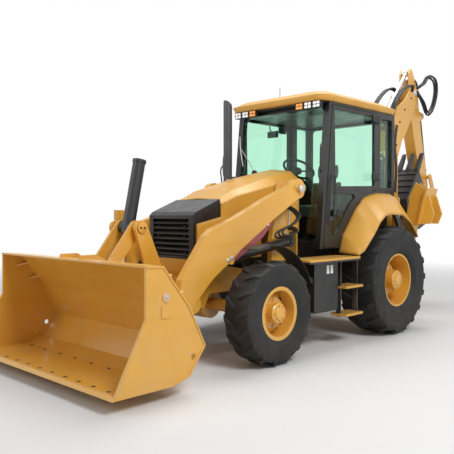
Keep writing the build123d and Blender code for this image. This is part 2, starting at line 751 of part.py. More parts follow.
# ---------------------------------------------------------------- loader
arm_outline = [(1400, 1795), (1946, 1588), (2396, 1395), (2705, 1290), (2787, 1232), (3085, 847),
               (3150, 560), (3205, 350), (3150, 295), (3095, 340), (2915, 633), (2715, 822),
               (2560, 925), (2475, 970), (2335, 1082), (1837, 1377), (1433, 1595)]
cross_tube = (2900.0, 610.0)
cross_tube_radius = 82.0
lever_y = 190.0
lever_thickness = 35.0
link_y = 114.0
link_thickness = 28.0
tilt_pin_radius = 32.0
with BuildPart() as loader_arms:
    for side in (1, -1):
        outer = side * arm_y + arm_thickness / 2
        extrude(outline(side_plane(outer), arm_outline), amount=arm_thickness)
        for point, radius in ((loader_pivot, 105.0), (bucket_hinge, 62.0), (lift_pin, lift_boss_radius)):
            extrude(disc(side_plane(outer), point, radius), amount=arm_thickness)
        # Pivot pin, out of the arm and through the tower.
        pin_inner = tower_y - tower_thickness / 2 - 5
        pin_outer = arm_y + arm_thickness / 2 + 20
        extrude(disc(side_plane(max(side * pin_inner, side * pin_outer)), loader_pivot, loader_pin_radius),
                amount=pin_outer - pin_inner)
        # Lift pin's boss, on the arm's inner face.
        extrude(disc(side_plane(side * (arm_y - arm_thickness / 2 - 6) + 6), lift_pin, lift_boss_radius), amount=12)
        # Bucket hinge pin, through the arm's end into the bucket's lugs.
        extrude(disc(side_plane(outer + 40), bucket_hinge, 32.0), amount=arm_thickness + 80)
    add(bar(place(cross_tube, -arm_y), place(cross_tube, arm_y), cross_tube_radius))
    # Level pointer's box, on top of the right arm.
    extrude(outline(side_plane(-arm_y + 30), [(2690, 1270), (2790, 1200), (2850, 1380), (2850, 1470),
                                              (2720, 1470)]), amount=60)
finish(loader_arms, "loader_arms")

with BuildPart() as lift_brace:
    extrude(outline(side_plane(arm_y + 30), [(1869, 1356.0), (2290, 1107.0),
                                            (2268, 1071), (1846, 1320)]), amount=60)
finish(lift_brace, "lift_brace")

cylinder_y = tower_y + tower_thickness / 2 + 65.0
lift_parts = [barrel_and_rod(place(lift_base, side * cylinder_y), place(lift_pin, side * cylinder_y),
                             Vector(0, 1, 0), 50.0, 28.0, 0.92, 0.08, 16.0, 62.0, 52.0, 70.0)
              for side in (1, -1)]
with BuildPart() as lift_barrels:
    add([barrel for barrel, rod in lift_parts])
    for side in (1, -1):
        # Base pin, through the tower.
        pin_outer = cylinder_y + 55
        extrude(disc(side_plane(max(side * pin_inner, side * pin_outer)), lift_base, lift_base_pin_radius),
                amount=pin_outer - pin_inner)
finish(lift_barrels, "lift_barrels")
with BuildPart() as lift_rods:
    add([rod for barrel, rod in lift_parts])
finish(lift_rods, "lift_rods")

with BuildPart() as tilt_lever:
    for side in (1, -1):
        top = side * lever_y + lever_thickness / 2
        extrude(strap(side_plane(top), cross_tube, tilt_apex, cross_tube_radius + 30, 70.0),
                amount=lever_thickness)
        extrude(disc(side_plane(top + 1), cross_tube, cross_tube_radius + pin_fit),
                amount=lever_thickness + 2, mode=Mode.SUBTRACT)
        # Stub pin at the apex, for the link and the barrel's trunnion boss.
        inner, outer = 64.0, lever_y + 32
        extrude(disc(side_plane(side * (outer + inner) / 2 + (outer - inner) / 2), tilt_apex,
                     tilt_pin_radius), amount=outer - inner)
finish(tilt_lever, "tilt_lever")

with BuildPart() as tilt_link:
    for side in (1, -1):
        top = side * link_y + link_thickness / 2
        extrude(strap(side_plane(top), tilt_apex, bucket_link_pin, 68.0, 62.0), amount=link_thickness)
        extrude(disc(side_plane(top + 1), tilt_apex, tilt_pin_radius + pin_fit),
                amount=link_thickness + 2, mode=Mode.SUBTRACT)
finish(tilt_link, "tilt_link")

tilt_lean = (place(tilt_apex) - place(tilt_top)).normalized()
tilt_rod_eye = place(tilt_apex) + tilt_lean * 504.0
with BuildPart() as tilt_barrel:
    add(bar(place(tilt_top), place(tilt_apex) + tilt_lean * 60, 60.0))
    add(bar(place(tilt_top), place(tilt_top) + tilt_lean * 30, 66.0))
    extrude(disc(side_plane(92), tilt_apex, 52.0), amount=184)
    add(bar(place(tilt_top) + tilt_lean * 40, place(tilt_apex) + tilt_lean * 61, 30.0 + pin_fit),
        mode=Mode.SUBTRACT)
    for side in (1, -1):
        extrude(disc(side_plane(side * 81.5 + 18.5), tilt_apex, tilt_pin_radius + pin_fit), amount=37,
                mode=Mode.SUBTRACT)
finish(tilt_barrel, "tilt_barrel")
with BuildPart() as tilt_rod:
    add(bar(tilt_rod_eye - tilt_lean * tilt_rod_length, tilt_rod_eye - tilt_lean * 30, 30.0))
    extrude(disc(side_plane(42), (tilt_rod_eye.X - axle_rear_x, tilt_rod_eye.Z), 46.0), amount=84)
finish(tilt_rod, "tilt_rod")

rib_y = 152.0
rib_thickness = 24.0
inner_rib_y = 60.0
inner_rib_thickness = 20.0
bucket_outer = [(3849, 1045), (3684, 1038), (3414, 700), (3252, 377), (3420, 155), (3604, bucket_floor_z),
                (cutting_edge_x, bucket_floor_z)]
bucket_inner = [(4120, bucket_floor_z + 26), (3608, bucket_floor_z + 16), (3430, 170), (3268, 381),
                (3427, 694), (3690, 1023), (3849, 1029)]
with BuildPart() as loader_bucket:
    extrude(outline(side_plane(bucket_half_width), bucket_outer + bucket_inner), amount=2 * bucket_half_width)
    side_face = bucket_half_width - wedge_thickness
    for y in (side_face, -side_face + bucket_side):
        extrude(outline(side_plane(y), [(3849, 1045), (3684, 1038), (3414, 700), (3252, 377), (3420, 155),
                                        (3604, bucket_floor_z), (cutting_edge_x - 30, bucket_floor_z),
                                        (cutting_edge_x - 30, bucket_floor_z + 26), (3853, 643)]),
                amount=bucket_side)
    for side in (1, -1):
        # Wear plate over the front lower corner, and a boss and a pad above it.
        outer = max(side * side_face, side * bucket_half_width)
        extrude(outline(side_plane(outer), [(3853, 643), (3700, 590), (3665, 545), (3554, 208), (3585, 195),
                                            (3599, bucket_floor_z), (cutting_edge_x - 30, bucket_floor_z),
                                            (cutting_edge_x - 30, 135)]), amount=wedge_thickness)
        extrude(disc(side_plane(outer), (3657, 798), 38.0), amount=wedge_thickness)
        extrude(outline(side_plane(outer), [(3613, 640), (3705, 640), (3705, 735), (3613, 735)], 8),
                amount=wedge_thickness)
        # Lugs either side of each arm's end.
        for shift in (arm_thickness / 2 + 22, -arm_thickness / 2 - 22):
            top = side * arm_y + shift + 14
            extrude(strap(side_plane(top), bucket_hinge, (3320, 420), 60.0, 60.0), amount=28)
            extrude(disc(side_plane(top + 1), bucket_hinge, 32.0 + pin_fit), amount=30, mode=Mode.SUBTRACT)
        # Outer ribs up the middle of the back, which carry the links' pins.
        extrude(outline(side_plane(side * rib_y + rib_thickness / 2),
                        [(3345, 560), (3352, 760), (3340, 990), (3358, 1040), (3415, 1054), (3500, 1010),
                         (3620, 1075), (3780, 1075), (3790, 1040), (3684, 1032), (3418, 700), (3350, 560)]),
                amount=rib_thickness)
        extrude(disc(side_plane(side * (rib_y - 8) + rib_thickness / 2), bucket_link_pin, 34.0),
                amount=rib_thickness)
        # Inner ribs, which carry the rod's pin.
        extrude(outline(side_plane(side * inner_rib_y + inner_rib_thickness / 2),
                        [(3352, 560), (3222, 770), (3218, 825), (3262, 858), (3320, 850), (3545, 850),
                         (3430, 700)]), amount=inner_rib_thickness)
    # The bucket's open space stays clear of the lugs and ribs.
    extrude(outline(side_plane(side_face - bucket_side),
                    [(4200, bucket_floor_z + 26)] + bucket_inner + [(4200, 1029)]),
            amount=2 * (side_face - bucket_side), mode=Mode.SUBTRACT)
    # Lashing hole in each heel.
    extrude(disc(side_plane(bucket_half_width), (3377, 302), 24.0), amount=2 * bucket_half_width,
            mode=Mode.SUBTRACT)
finish(loader_bucket, "loader_bucket")


# ---------------------------------------------------------------- backhoe
boom_ram_base = (-1400.0, 1400.0)
boom_ram_eye = (-1372.0, 2300.0)
stick_ram_base = (-1425.0, 2760.0)
bucket_ram_base = (-2520.0, 2980.0)
tipping_pivot = (-2620.0, 2020.0)
tipping_joint = (-2802.0, 1664.0)
power_link_pin = (-2514.0, 1385.0)
with BuildPart() as swing_frame:
    for side in (1, -1):
        top = side * 140 + 15
        extrude(outline(side_plane(top), [(-1505, 571), (-1640, 571), (-1730, 960), (-1730, 1080), (-1660, 1150),
                                          (-1560, 1290), (-1505, 1290)]), amount=30)
        extrude(outline(side_plane(top), [(-1400, 571), (-1510, 571), (-1510, 1149), (-1400, 1149)]), amount=30)
        extrude(outline(side_plane(top), [(-1320, 1231), (-1510, 1231), (-1510, 1290), (-1320, 1290)]), amount=30)
        extrude(strap(side_plane(side * 72 + 14), (-1400, 1303), boom_ram_base, 70.0, 55.0), amount=28)
    with Locations(place((-1455, 750))):
        Box(110, 300, 358)
    with Locations(place((swing_axis_x, 860))):
        Cylinder(88, 578)
    with Locations(place((-1400, 1260.5))):
        Box(160, 300, 59)
    extrude(disc(side_plane(150), boom_foot, 45.0), amount=300)
    extrude(disc(side_plane(80), boom_ram_base, 28.0), amount=160)
    # Swing pin, up and down through the rear frame's plates.
    with Locations(place((swing_axis_x, 860))):
        Cylinder(swing_pin_radius, 760)
    extrude(outline(side_plane(58), [(-1300, 1290), (-1500, 1290), (-1500, 1500), (-1300, 1500)]),
            amount=116, mode=Mode.SUBTRACT)
    extrude(disc(side_plane(80), boom_ram_base, 28.0), amount=160)
finish(swing_frame, "swing_frame")

boom_outline = [(-1532, 1000), (-1532, 1667), (-1492, 2006), (-1450, 2316), (-1400, 2640), (-1360, 2700),
                (-1360, 2800), (-1420, 2860), (-1620, 2900), (-1658, 3010), (-1871, 3140), (-2060, 3345),
                (-2192, 3390), (-2285, 3298), (-2250, 3180), (-2090, 2900), (-1880, 2615), (-1790, 2530),
                (-1668, 2277), (-1668, 1643), (-1708, 1000)]
fork_outline = [(-1300, 2640), (-1440, 2640), (-1720, 2740), (-1890, 2640), (-2400, 2800), (-2400, 3700),
                (-1300, 3700)]
with BuildPart() as boom:
    extrude(outline(side_plane(boom_half_width), boom_outline), amount=2 * boom_half_width)
    extrude(disc(side_plane(boom_half_width), boom_foot, 90.0), amount=2 * boom_half_width)
    extrude(disc(side_plane(boom_half_width), stick_pivot, 105.0), amount=2 * boom_half_width)
    extrude(outline(side_plane(90), fork_outline), amount=180, mode=Mode.SUBTRACT)
    extrude(disc(side_plane(121), boom_foot, 45.0 + pin_fit), amount=242, mode=Mode.SUBTRACT)
    extrude(disc(side_plane(boom_half_width), stick_pivot, 40.0), amount=2 * boom_half_width)
    for side in (1, -1):
        extrude(strap(side_plane(side * 69 + 11), boom_ram_eye, (-1490, 2300), 50.0, 90.0), amount=22)
        extrude(disc(side_plane(side * 62 + 6), boom_ram_eye, 30.0), amount=12)
        extrude(disc(side_plane(side * 75 + 17), stick_ram_base, 28.0), amount=34)
finish(boom, "boom")

stick_outline = [(-2062, 3590), (-2110, 3665), (-2170, 3620), (-2290, 3400), (-2318, 3349), (-2362, 3157),
                 (-2407, 2963), (-2461, 2681), (-2545, 2409), (-2625, 2130), (-2690, 1900), (-2680, 1600),
                 (-2600, 1540), (-2525, 1600), (-2430, 2000), (-2270, 2470), (-2110, 2960), (-2075, 3200)]
with BuildPart() as stick:
    extrude(outline(side_plane(stick_half_width), stick_outline), amount=2 * stick_half_width)
    extrude(disc(side_plane(stick_half_width), stick_pivot, 100.0), amount=2 * stick_half_width)
    extrude(outline(side_plane(58), [(-1950, 3395), (-2200, 3420), (-2400, 3420), (-2400, 3800), (-1950, 3800)]),
            amount=116, mode=Mode.SUBTRACT)
    extrude(disc(side_plane(stick_half_width + 1), stick_pivot, 40.0 + pin_fit),
            amount=2 * stick_half_width + 2, mode=Mode.SUBTRACT)
    for side in (1, -1):
        extrude(disc(side_plane(side * 66 + 11), stick_eye, 26.0), amount=22)
        # Lugs on the stick's back for the bucket cylinder.
        extrude(strap(side_plane(side * 62 + 10), bucket_ram_base, (-2400, 2960), 45.0, 80.0), amount=20)
    extrude(disc(side_plane(72), bucket_ram_base, 26.0), amount=144)
    for point, radius in ((bucket_pivot, 38.0), (tipping_pivot, 28.0)):
        extrude(disc(side_plane(stick_half_width + 1), point, radius + pin_fit),
                amount=2 * stick_half_width + 2, mode=Mode.SUBTRACT)
finish(stick, "stick")

backhoe_cylinders = (
    # name, base, eye, bore, rod, barrel share, rod share, retract, base eye, rod eye, pin radius
    ("boom", boom_ram_base, boom_ram_eye, 52.0, 32.0, 0.92, 0.10, 0.0, 55.0, 50.0, 28.0),
    ("stick", stick_ram_base, stick_eye, 48.0, 28.0, 0.505, 0.49, 484.0, 52.0, 48.0, 28.0),
    ("bucket", bucket_ram_base, tipping_joint, 42.0, 24.0, 0.66, 0.60, 372.0, 44.0, 44.0, 26.0),
)
for name, base, eye, bore, rod, mouth, rod_start, retract, base_eye, rod_eye, pin_radius in backhoe_cylinders:
    barrel_part, rod_part = barrel_and_rod(place(base), place(eye), Vector(0, 1, 0), bore, rod,
                                           mouth, rod_start, retract, base_eye, rod_eye, 90.0)
    with BuildPart() as barrel:
        add(barrel_part)
        extrude(disc(side_plane(50), base, pin_radius + pin_fit), amount=100, mode=Mode.SUBTRACT)
    finish(barrel, name + "_barrel")
    with BuildPart() as piston_rod:
        add(rod_part)
    finish(piston_rod, name + "_rod")

tipping_y = 153.0
power_link_y = 129.0
with BuildPart() as tipping_links:
    for side in (1, -1):
        extrude(strap(side_plane(side * tipping_y + 9), tipping_pivot, tipping_joint, 48.0, 44.0), amount=18)
        extrude(disc(side_plane(side * 109 + 57), tipping_joint, 26.0), amount=114)
    extrude(disc(side_plane(tipping_y + 13), tipping_pivot, 28.0), amount=2 * tipping_y + 26)
finish(tipping_links, "tipping_links")

with BuildPart() as power_link:
    for side in (1, -1):
        extrude(strap(side_plane(side * power_link_y + 9), tipping_joint, power_link_pin, 44.0, 44.0),
                amount=18)
        extrude(disc(side_plane(side * power_link_y + 10), tipping_joint, 26.0 + pin_fit), amount=20,
                mode=Mode.SUBTRACT)
finish(power_link, "power_link")

dig_outer = [(-2060, 2115), (-1710, 1650), (-1715, 1420), (-1850, 1250), (-2080, 1200), (-2330, 1290)]
dig_inner = [(-2320, 1308), (-2082, 1218), (-1862, 1264), (-1732, 1426), (-1727, 1644), (-2074, 2104)]
dig_heel = [(-2430, 1378), (-2418, 1393)]    # the shell ends here, clear of the power link
with BuildPart() as backhoe_bucket:
    extrude(outline(side_plane(dig_bucket_half_width), dig_outer + dig_heel + dig_inner),
            amount=2 * dig_bucket_half_width)
    for y in (dig_bucket_half_width, -dig_bucket_half_width + 16):
        extrude(outline(side_plane(y), dig_outer + [(-2500, 1440), (-2470, 1560), (-2300, 1800), (-2160, 1960)]),
                amount=16)
    for step in range(4):
        y = (step - 1.5) * 146.0
        extrude(outline(side_plane(y + 28), [(-2015, 2055), (-2062, 2020), (-2215, 2300), (-2227, 2370),
                                             (-2195, 2350), (-2040, 2130)]), amount=56)
    for side in (1, -1):
        top = side * (stick_half_width + 18) + 12
        extrude(outline(side_plane(top), [(-2300, 1290), (-2560, 1330), (-2660, 1400), (-2680, 1600),
                                          (-2600, 1700), (-2530, 1690), (-2400, 1500), (-2260, 1330)]),
                amount=24)
    extrude(disc(side_plane(stick_half_width + 30), bucket_pivot, 38.0), amount=2 * stick_half_width + 60)
finish(backhoe_bucket, "backhoe_bucket")


# ---------------------------------------------------------------- stabilizers
for name, side in (("left", 1), ("right", -1)):
    pivot = (side * stabilizer_pivot[0], stabilizer_pivot[1])
    pad_pin = (side * stabilizer_pad_pin[0], stabilizer_pad_pin[1])
    ram_base = Vector(axle_rear_x + stabilizer_x, side * stabilizer_ram_base[0], stabilizer_ram_base[1])
    ram_eye = Vector(axle_rear_x + stabilizer_x, side * stabilizer_ram_eye[0], stabilizer_ram_eye[1])
    with BuildPart() as leg:
        # Two side plates, joined by a web on the outer side.
        for end in (1, -1):
            plate = cross_plane(stabilizer_x + end * (leg_half_gap - 14) - 8)
            extrude(strap(plate, pivot, pad_pin, 72.0, 52.0), amount=16)
            extrude(outline(plate, [(side * y, z) for y, z in
                                    ((700, 1650), (800, 1846), (960, 1740), (880, 1300), (791, 1276),
                                     (720, 1300))]), amount=16)
        web = cross_plane(stabilizer_x - leg_half_gap + 20)
        extrude(outline(web, [(side * y, z) for y, z in
                              ((706, 1012), (722, 1012), (812, 1430), (796, 1430))]),
                amount=2 * leg_half_gap - 40)
        extrude(disc(cross_plane(stabilizer_x - leg_half_gap + 20), pad_pin, 28.0),
                amount=2 * leg_half_gap - 40)
        # Foot plate with its outer teeth.
        extrude(outline(cross_plane(stabilizer_x - 150), [(side * y, z) for y, z in
                                                          ((975, 1768), (1001, 1763), (890, 1300), (864, 1305))]),
                amount=300)
        for x in (-120, 100):
            extrude(outline(cross_plane(stabilizer_x + x), [(side * y, z) for y, z in
                                                            ((978, 1668), (1007, 1664), (1082, 1430),
                                                             (1028, 1302), (892, 1306))]), amount=20)
        extrude(disc(cross_plane(stabilizer_x - leg_pin_half), pivot, stabilizer_pin_radius),
                amount=2 * leg_pin_half)
    finish(leg, "stabilizer_" + name)
    barrel_part, rod_part = barrel_and_rod(ram_base, ram_eye, Vector(1, 0, 0), 42.0, 26.0, 0.88, 0.12,
                                           0.0, 44.0, 40.0, 70.0)
    with BuildPart() as barrel:
        add(barrel_part)
        extrude(disc(cross_plane(stabilizer_x - leg_pin_half),
                     (side * stabilizer_ram_base[0], stabilizer_ram_base[1]), stabilizer_ram_pin_radius),
                amount=2 * leg_pin_half)
    finish(barrel, "stabilizer_barrel_" + name)
    with BuildPart() as piston_rod:
        add(rod_part)
    finish(piston_rod, "stabilizer_rod_" + name)


# ---------------------------------------------------------------- hydraulic hoses
hose_radius = 12.0
hose_arc_share = 0.45


def hose(points):
    """A hose along straight runs joined by tangent arcs, each as large as its runs allow."""
    runs = [b - a for a, b in zip(points, points[1:])]
    radii = []
    for before, after in zip(runs, runs[1:]):
        turn = radians(before.get_angle(after))
        radii.append(hose_arc_share * min(before.length, after.length) / tan(turn / 2))
    with BuildPart() as piece:
        with BuildLine() as path:
            FilletPolyline(*points, radius=radii)
        with BuildSketch(Plane(origin=points[0], z_dir=runs[0])):
            Circle(hose_radius)
        sweep(path=path.line)
    print("hose radii", [round(radius) for radius in radii])
    return piece.part


def held_hose(route, y, wall_y):
    """A hose in the side view at y, with a fitting at each end out of the wall at wall_y."""
    out = 1 if y > wall_y else -1
    reach = abs(y - wall_y) + hose_radius + 6
    with BuildPart() as piece:
        add(hose([place(point, y) for point in route]))
        for end in (route[0], route[-1]):
            extrude(disc(side_plane(max(wall_y, wall_y + out * reach)), end, hose_radius + 5), amount=reach)
    return piece.part


# Routes in the side view, as points ahead of the rear axle and above the ground.
boom_loop = [(-2215, 3330), (-2330, 3150), (-2450, 3010), (-2590, 3010), (-2730, 3190), (-2810, 3400),
             (-2790, 3580), (-2640, 3640), (-2460, 3580), (-2340, 3460), (-2215, 3375)]
boom_run = [(-1440, 2740), (-1480, 2930), (-1560, 3090), (-1700, 3230), (-1880, 3350), (-2060, 3400),
            (-2170, 3340)]
with BuildPart() as boom_hoses:
    for side in (1, -1):
        add(held_hose(boom_loop, side * (boom_half_width + 40), side * boom_half_width))
        add(held_hose([(x + 60, z - 25) for x, z in boom_run], side * (boom_half_width + 14),
                      side * boom_half_width))
finish(boom_hoses, "boom_hoses")
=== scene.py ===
import json
from math import cos, pi, radians, sin

import bmesh
import bpy
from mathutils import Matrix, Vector


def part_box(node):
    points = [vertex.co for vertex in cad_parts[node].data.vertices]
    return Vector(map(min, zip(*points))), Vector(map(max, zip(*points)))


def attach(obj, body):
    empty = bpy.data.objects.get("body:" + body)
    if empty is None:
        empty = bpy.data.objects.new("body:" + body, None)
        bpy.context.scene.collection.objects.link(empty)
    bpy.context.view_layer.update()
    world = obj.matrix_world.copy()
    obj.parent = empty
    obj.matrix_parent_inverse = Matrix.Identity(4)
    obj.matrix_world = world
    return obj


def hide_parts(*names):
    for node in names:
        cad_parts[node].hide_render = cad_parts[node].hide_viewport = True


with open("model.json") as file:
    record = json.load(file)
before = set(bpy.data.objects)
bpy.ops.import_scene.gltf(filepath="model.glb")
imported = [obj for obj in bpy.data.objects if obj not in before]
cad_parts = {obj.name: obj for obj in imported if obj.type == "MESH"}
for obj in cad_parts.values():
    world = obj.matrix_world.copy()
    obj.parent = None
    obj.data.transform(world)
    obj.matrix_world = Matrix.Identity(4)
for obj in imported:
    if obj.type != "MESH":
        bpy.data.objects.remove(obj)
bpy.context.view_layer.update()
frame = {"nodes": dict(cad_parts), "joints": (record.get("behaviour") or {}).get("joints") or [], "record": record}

# Everything is in metres, +X forward, +Y to the machine's left, +Z up, as in the frame.
X, Y, Z = Vector((1, 0, 0)), Vector((0, 1, 0)), Vector((0, 0, 1))
SIDES = (("left", 1), ("right", -1))
PIVOT = {joint["name"]: Vector(joint["pos_m"]) for joint in frame["joints"] if "pos_m" in joint}
ROUND_STEPS = 24                 # sides of a round turned part, where nothing else is said
SHARP_ANGLE = radians(35)


# ---------------------------------------------------------------- materials
DUST = (0.46, 0.40, 0.32, 1)
DUST_TOP, DUST_BOTTOM = 1.1, 0.05    # heights between which dust fades in
WHITE = (1, 1, 1, 1)


class Finish:
    """A Principled material and short ways to wire nodes into it."""

    def __init__(self, name, **constants):
        self.material = bpy.data.materials.new(name)
        self.material.use_nodes = True
        self.tree = self.material.node_tree
        self.shader = self.tree.nodes["Principled BSDF"]
        for socket, value in constants.items():
            self.shader.inputs[socket.replace("_", " ")].default_value = value
        self.place = self.node("ShaderNodeTexCoord").outputs["Object"]

    def node(self, kind, settings=None, **inputs):
        made = self.tree.nodes.new(kind)
        for key, value in (settings or {}).items():
            setattr(made, key, value)
        for key, value in inputs.items():
            self.feed(made.inputs[key.replace("_", " ")], value)
        return made

    def feed(self, socket, value):
        if isinstance(value, bpy.types.NodeSocket):
            self.tree.links.new(value, socket)
        else:
            socket.default_value = value

    def noise(self, scale, detail=4.0, roughness=0.55):
        mapped = self.node("ShaderNodeMapping", Vector=self.place)
        return self.node("ShaderNodeTexNoise", Vector=mapped.outputs["Vector"], Scale=scale, Detail=detail,
                         Roughness=roughness).outputs["Fac"]

    def stripes(self, direction, scale, distortion=0.0):
        return self.node("ShaderNodeTexWave", {"bands_direction": direction}, Vector=self.place, Scale=scale,
                         Distortion=distortion).outputs["Fac"]

    def ramp(self, value, low, high, start, end):
        """Low where the value is at its start, and high where it is at its end."""
        return self.node("ShaderNodeMapRange", Value=value, From_Min=start, From_Max=end, To_Min=low,
                         To_Max=high).outputs["Result"]

    def math(self, operation, first, second):
        made = self.node("ShaderNodeMath", {"operation": operation, "use_clamp": True})
        self.feed(made.inputs[0], first)
        self.feed(made.inputs[1], second)
        return made.outputs[0]

    def mix(self, share, first, second):
        made = self.node("ShaderNodeMix", {"data_type": "RGBA"})
        self.feed(made.inputs[0], share)
        self.feed(made.inputs[6], first)
        self.feed(made.inputs[7], second)
        return made.outputs[2]

    def rounded(self, radius):
        """A normal that rounds off the mesh's edges."""
        return self.node("ShaderNodeBevel", {"samples": 4}, Radius=radius).outputs["Normal"]

    def edges(self, radius):
        """One on a sharp edge, and zero on a flat."""
        soft = self.rounded(radius)
        hard = self.node("ShaderNodeNewGeometry").outputs["Normal"]
        turn = self.node("ShaderNodeVectorMath", {"operation": "DOT_PRODUCT"})
        self.feed(turn.inputs[0], soft)
        self.feed(turn.inputs[1], hard)
        return self.ramp(turn.outputs["Value"], 1.0, 0.0, 0.80, 0.995)

    def low_down(self, top, bottom):
        """One at the ground, falling to zero at the height called top."""
        height = self.node("ShaderNodeSeparateXYZ", Vector=self.place).outputs["Z"]
        return self.ramp(height, 1.0, 0.0, bottom, top)

    def bump(self, height, strength, distance, normal=None):
        made = self.node("ShaderNodeBump", Strength=strength, Distance=distance, Height=height)
        if normal is not None:
            self.feed(made.inputs["Normal"], normal)
        return made.outputs["Normal"]

    def wear_and_edge_highlight(self, base, deep, pale, rough, grain, edge=0.006, coat=0.0, dust=0.25):
        """Coat a surface: its colour drifts, its edges go pale as worn paint and as a painted highlight, and dust
        gathers low down.
        """
        drift = self.ramp(self.noise(1.6), 0.0, 1.0, 0.35, 0.68)
        colour = self.mix(drift, base, deep)
        fleck = self.ramp(self.noise(38.0, 6.0), 0.0, 0.16, 0.52, 0.75)
        colour = self.mix(fleck, colour, deep)
        patches = self.ramp(self.noise(9.0), 0.15, 0.75, 0.35, 0.65)
        # painted highlight: the paler colour on sharp edges stands partly for worn paint and partly for light
        # catching the edges
        colour = self.mix(self.math("MULTIPLY", self.edges(edge), patches), colour, pale)
        clouds = self.ramp(self.noise(4.5, 8.0), 0.0, dust, 0.4, 0.7)
        film = self.math("MULTIPLY", self.low_down(DUST_TOP, DUST_BOTTOM), clouds)
        self.feed(self.shader.inputs["Base Color"], self.mix(film, colour, DUST))
        gloss = self.ramp(self.noise(7.0, 6.0), rough - 0.07, rough + 0.10, 0.3, 0.7)
        matt = self.math("MULTIPLY", film, 0.5)
        self.feed(self.shader.inputs["Roughness"], self.math("ADD", gloss, matt))
        self.shader.inputs["Coat Weight"].default_value = coat
        self.shader.inputs["Coat Roughness"].default_value = 0.18
        skin = self.bump(self.noise(grain, 3.0), 0.10, 0.0012, self.rounded(edge))
        self.feed(self.shader.inputs["Normal"], skin)
        return self.material


def rgb(red, green, blue):
    """A colour written as it looks, from 0 to 255, in the linear form that shaders take."""
    def linear(value):
        share = value / 255.0
        return share / 12.92 if share <= 0.04045 else ((share + 0.055) / 1.055) ** 2.4
    return (linear(red), linear(green), linear(blue), 1.0)


def glass(name, tint, thin_tint):
    pane = Finish(name, Transmission_Weight=1.0, IOR=1.35)
    smear = pane.ramp(pane.noise(3.0, 6.0), 0.0, 0.02, 0.45, 0.75)
    clouds = pane.ramp(pane.noise(1.2), 0.0, 0.25, 0.4, 0.7)
    pane.feed(pane.shader.inputs["Roughness"], smear)
    pane.feed(pane.shader.inputs["Base Color"], pane.mix(clouds, tint, thin_tint))
    pane.feed(pane.shader.inputs["Normal"], pane.bump(pane.noise(2.0), 0.02, 0.001))
    return pane.material


def cloth(name, base, deep):
    woven = Finish(name, Sheen_Weight=0.4)
    warp, weft = [woven.stripes(direction, 180.0, 0.6) for direction in "YZ"]
    weave = woven.math("MULTIPLY", warp, weft)
    patch = woven.ramp(woven.noise(6.0), 0.0, 0.6, 0.35, 0.7)
    woven.feed(woven.shader.inputs["Base Color"], woven.mix(weave, woven.mix(patch, base, deep), deep))
    woven.feed(woven.shader.inputs["Roughness"], woven.ramp(weave, 0.75, 0.95, 0.0, 1.0))
    woven.feed(woven.shader.inputs["Normal"], woven.bump(weave, 0.35, 0.001))
    return woven.material


def lens(name, colour, glow):
    """A ribbed lamp lens with painted glow: a slight emission and paler rib stripes stand in for light off its
    reflector.
    """
    # painted glow: the emission and the paler rib colour
    clear = Finish(name, Coat_Weight=0.8, Emission_Strength=0.35)
    ribs = clear.stripes("Y", 60.0)
    tone = clear.mix(clear.ramp(ribs, 0.0, 0.5, 0.0, 1.0), colour, glow)
    clear.feed(clear.shader.inputs["Base Color"], tone)
    clear.feed(clear.shader.inputs["Emission Color"], tone)
    clear.feed(clear.shader.inputs["Roughness"], clear.ramp(clear.noise(20.0), 0.12, 0.3, 0.3, 0.7))
    clear.feed(clear.shader.inputs["Normal"], clear.bump(ribs, 0.3, 0.002))
    return clear.material


def tread_rubber(name):
    rubber = Finish(name, Specular_IOR_Level=0.35)
    return rubber.wear_and_edge_highlight(rgb(36, 36, 36), rgb(25, 25, 25), rgb(84, 82, 80), 0.60, 260.0, edge=0.008, dust=0.06)


def painted(name, base, deep, pale, rough, coat, metallic=0.0, grain=420.0, dust=0.18, edge=0.007):
    """A finish from its colours: as it is, in deeper patches, and on edges, as worn paint and a painted highlight.
    """
    return Finish(name, Metallic=metallic).wear_and_edge_highlight(rgb(*base), rgb(*deep), rgb(*pale), rough, grain, edge, coat,
                                                dust)


MATERIALS = {
    # slot: finish, from its three colours (the third on edges, as wear and painted highlight), roughness and clear
    # coat
    "yellow_paint": painted("yellow_paint", (224, 168, 64), (213, 156, 54), (243, 199, 108), 0.32, 0.45),
    "dark_frame": painted("dark_frame", (28, 28, 28), (20, 20, 21), (72, 70, 68), 0.44, 0.1, dust=0.03),
    "cab_black": painted("cab_black", (24, 25, 25), (17, 18, 18), (62, 64, 64), 0.40, 0.15, dust=0.03),
    "tyre_rubber": tread_rubber("tyre_rubber"),
    "rod_chrome": painted("rod_chrome", (222, 224, 226), (196, 199, 203), (240, 240, 240), 0.16, 0.0,
                          metallic=1.0, grain=900.0),
    "cast_dark": painted("cast_dark", (66, 64, 62), (48, 46, 45), (110, 106, 100), 0.6, 0.0,
                         metallic=0.3, grain=120.0),
    "bare_steel": painted("bare_steel", (206, 204, 200), (170, 168, 164), (232, 230, 226), 0.34, 0.0,
                          metallic=0.6, grain=500.0),
    "stack_steel": painted("stack_steel", (76, 77, 78), (58, 59, 60), (120, 120, 120), 0.38, 0.1,
                           metallic=0.4, grain=300.0),
    "red_paint": painted("red_paint", (150, 58, 64), (124, 42, 50), (190, 104, 104), 0.38, 0.3),
    "black_plastic": painted("black_plastic", (28, 28, 29), (20, 20, 21), (60, 60, 60), 0.5, 0.0,
                             grain=700.0, dust=0.05),
    "lamp_lens": lens("lamp_lens", (0.80, 0.80, 0.78, 1), (0.95, 0.95, 0.92, 1)),
    "seat_cloth": cloth("seat_cloth", rgb(62, 62, 64), rgb(38, 38, 40)),
    "cab_glass": glass("cab_glass", (0.70, 0.95, 0.82, 1), (0.62, 0.90, 0.76, 1)),
}
DULL_YELLOW, DULL_YELLOW_DEEP = (218, 164, 66), (206, 151, 55)


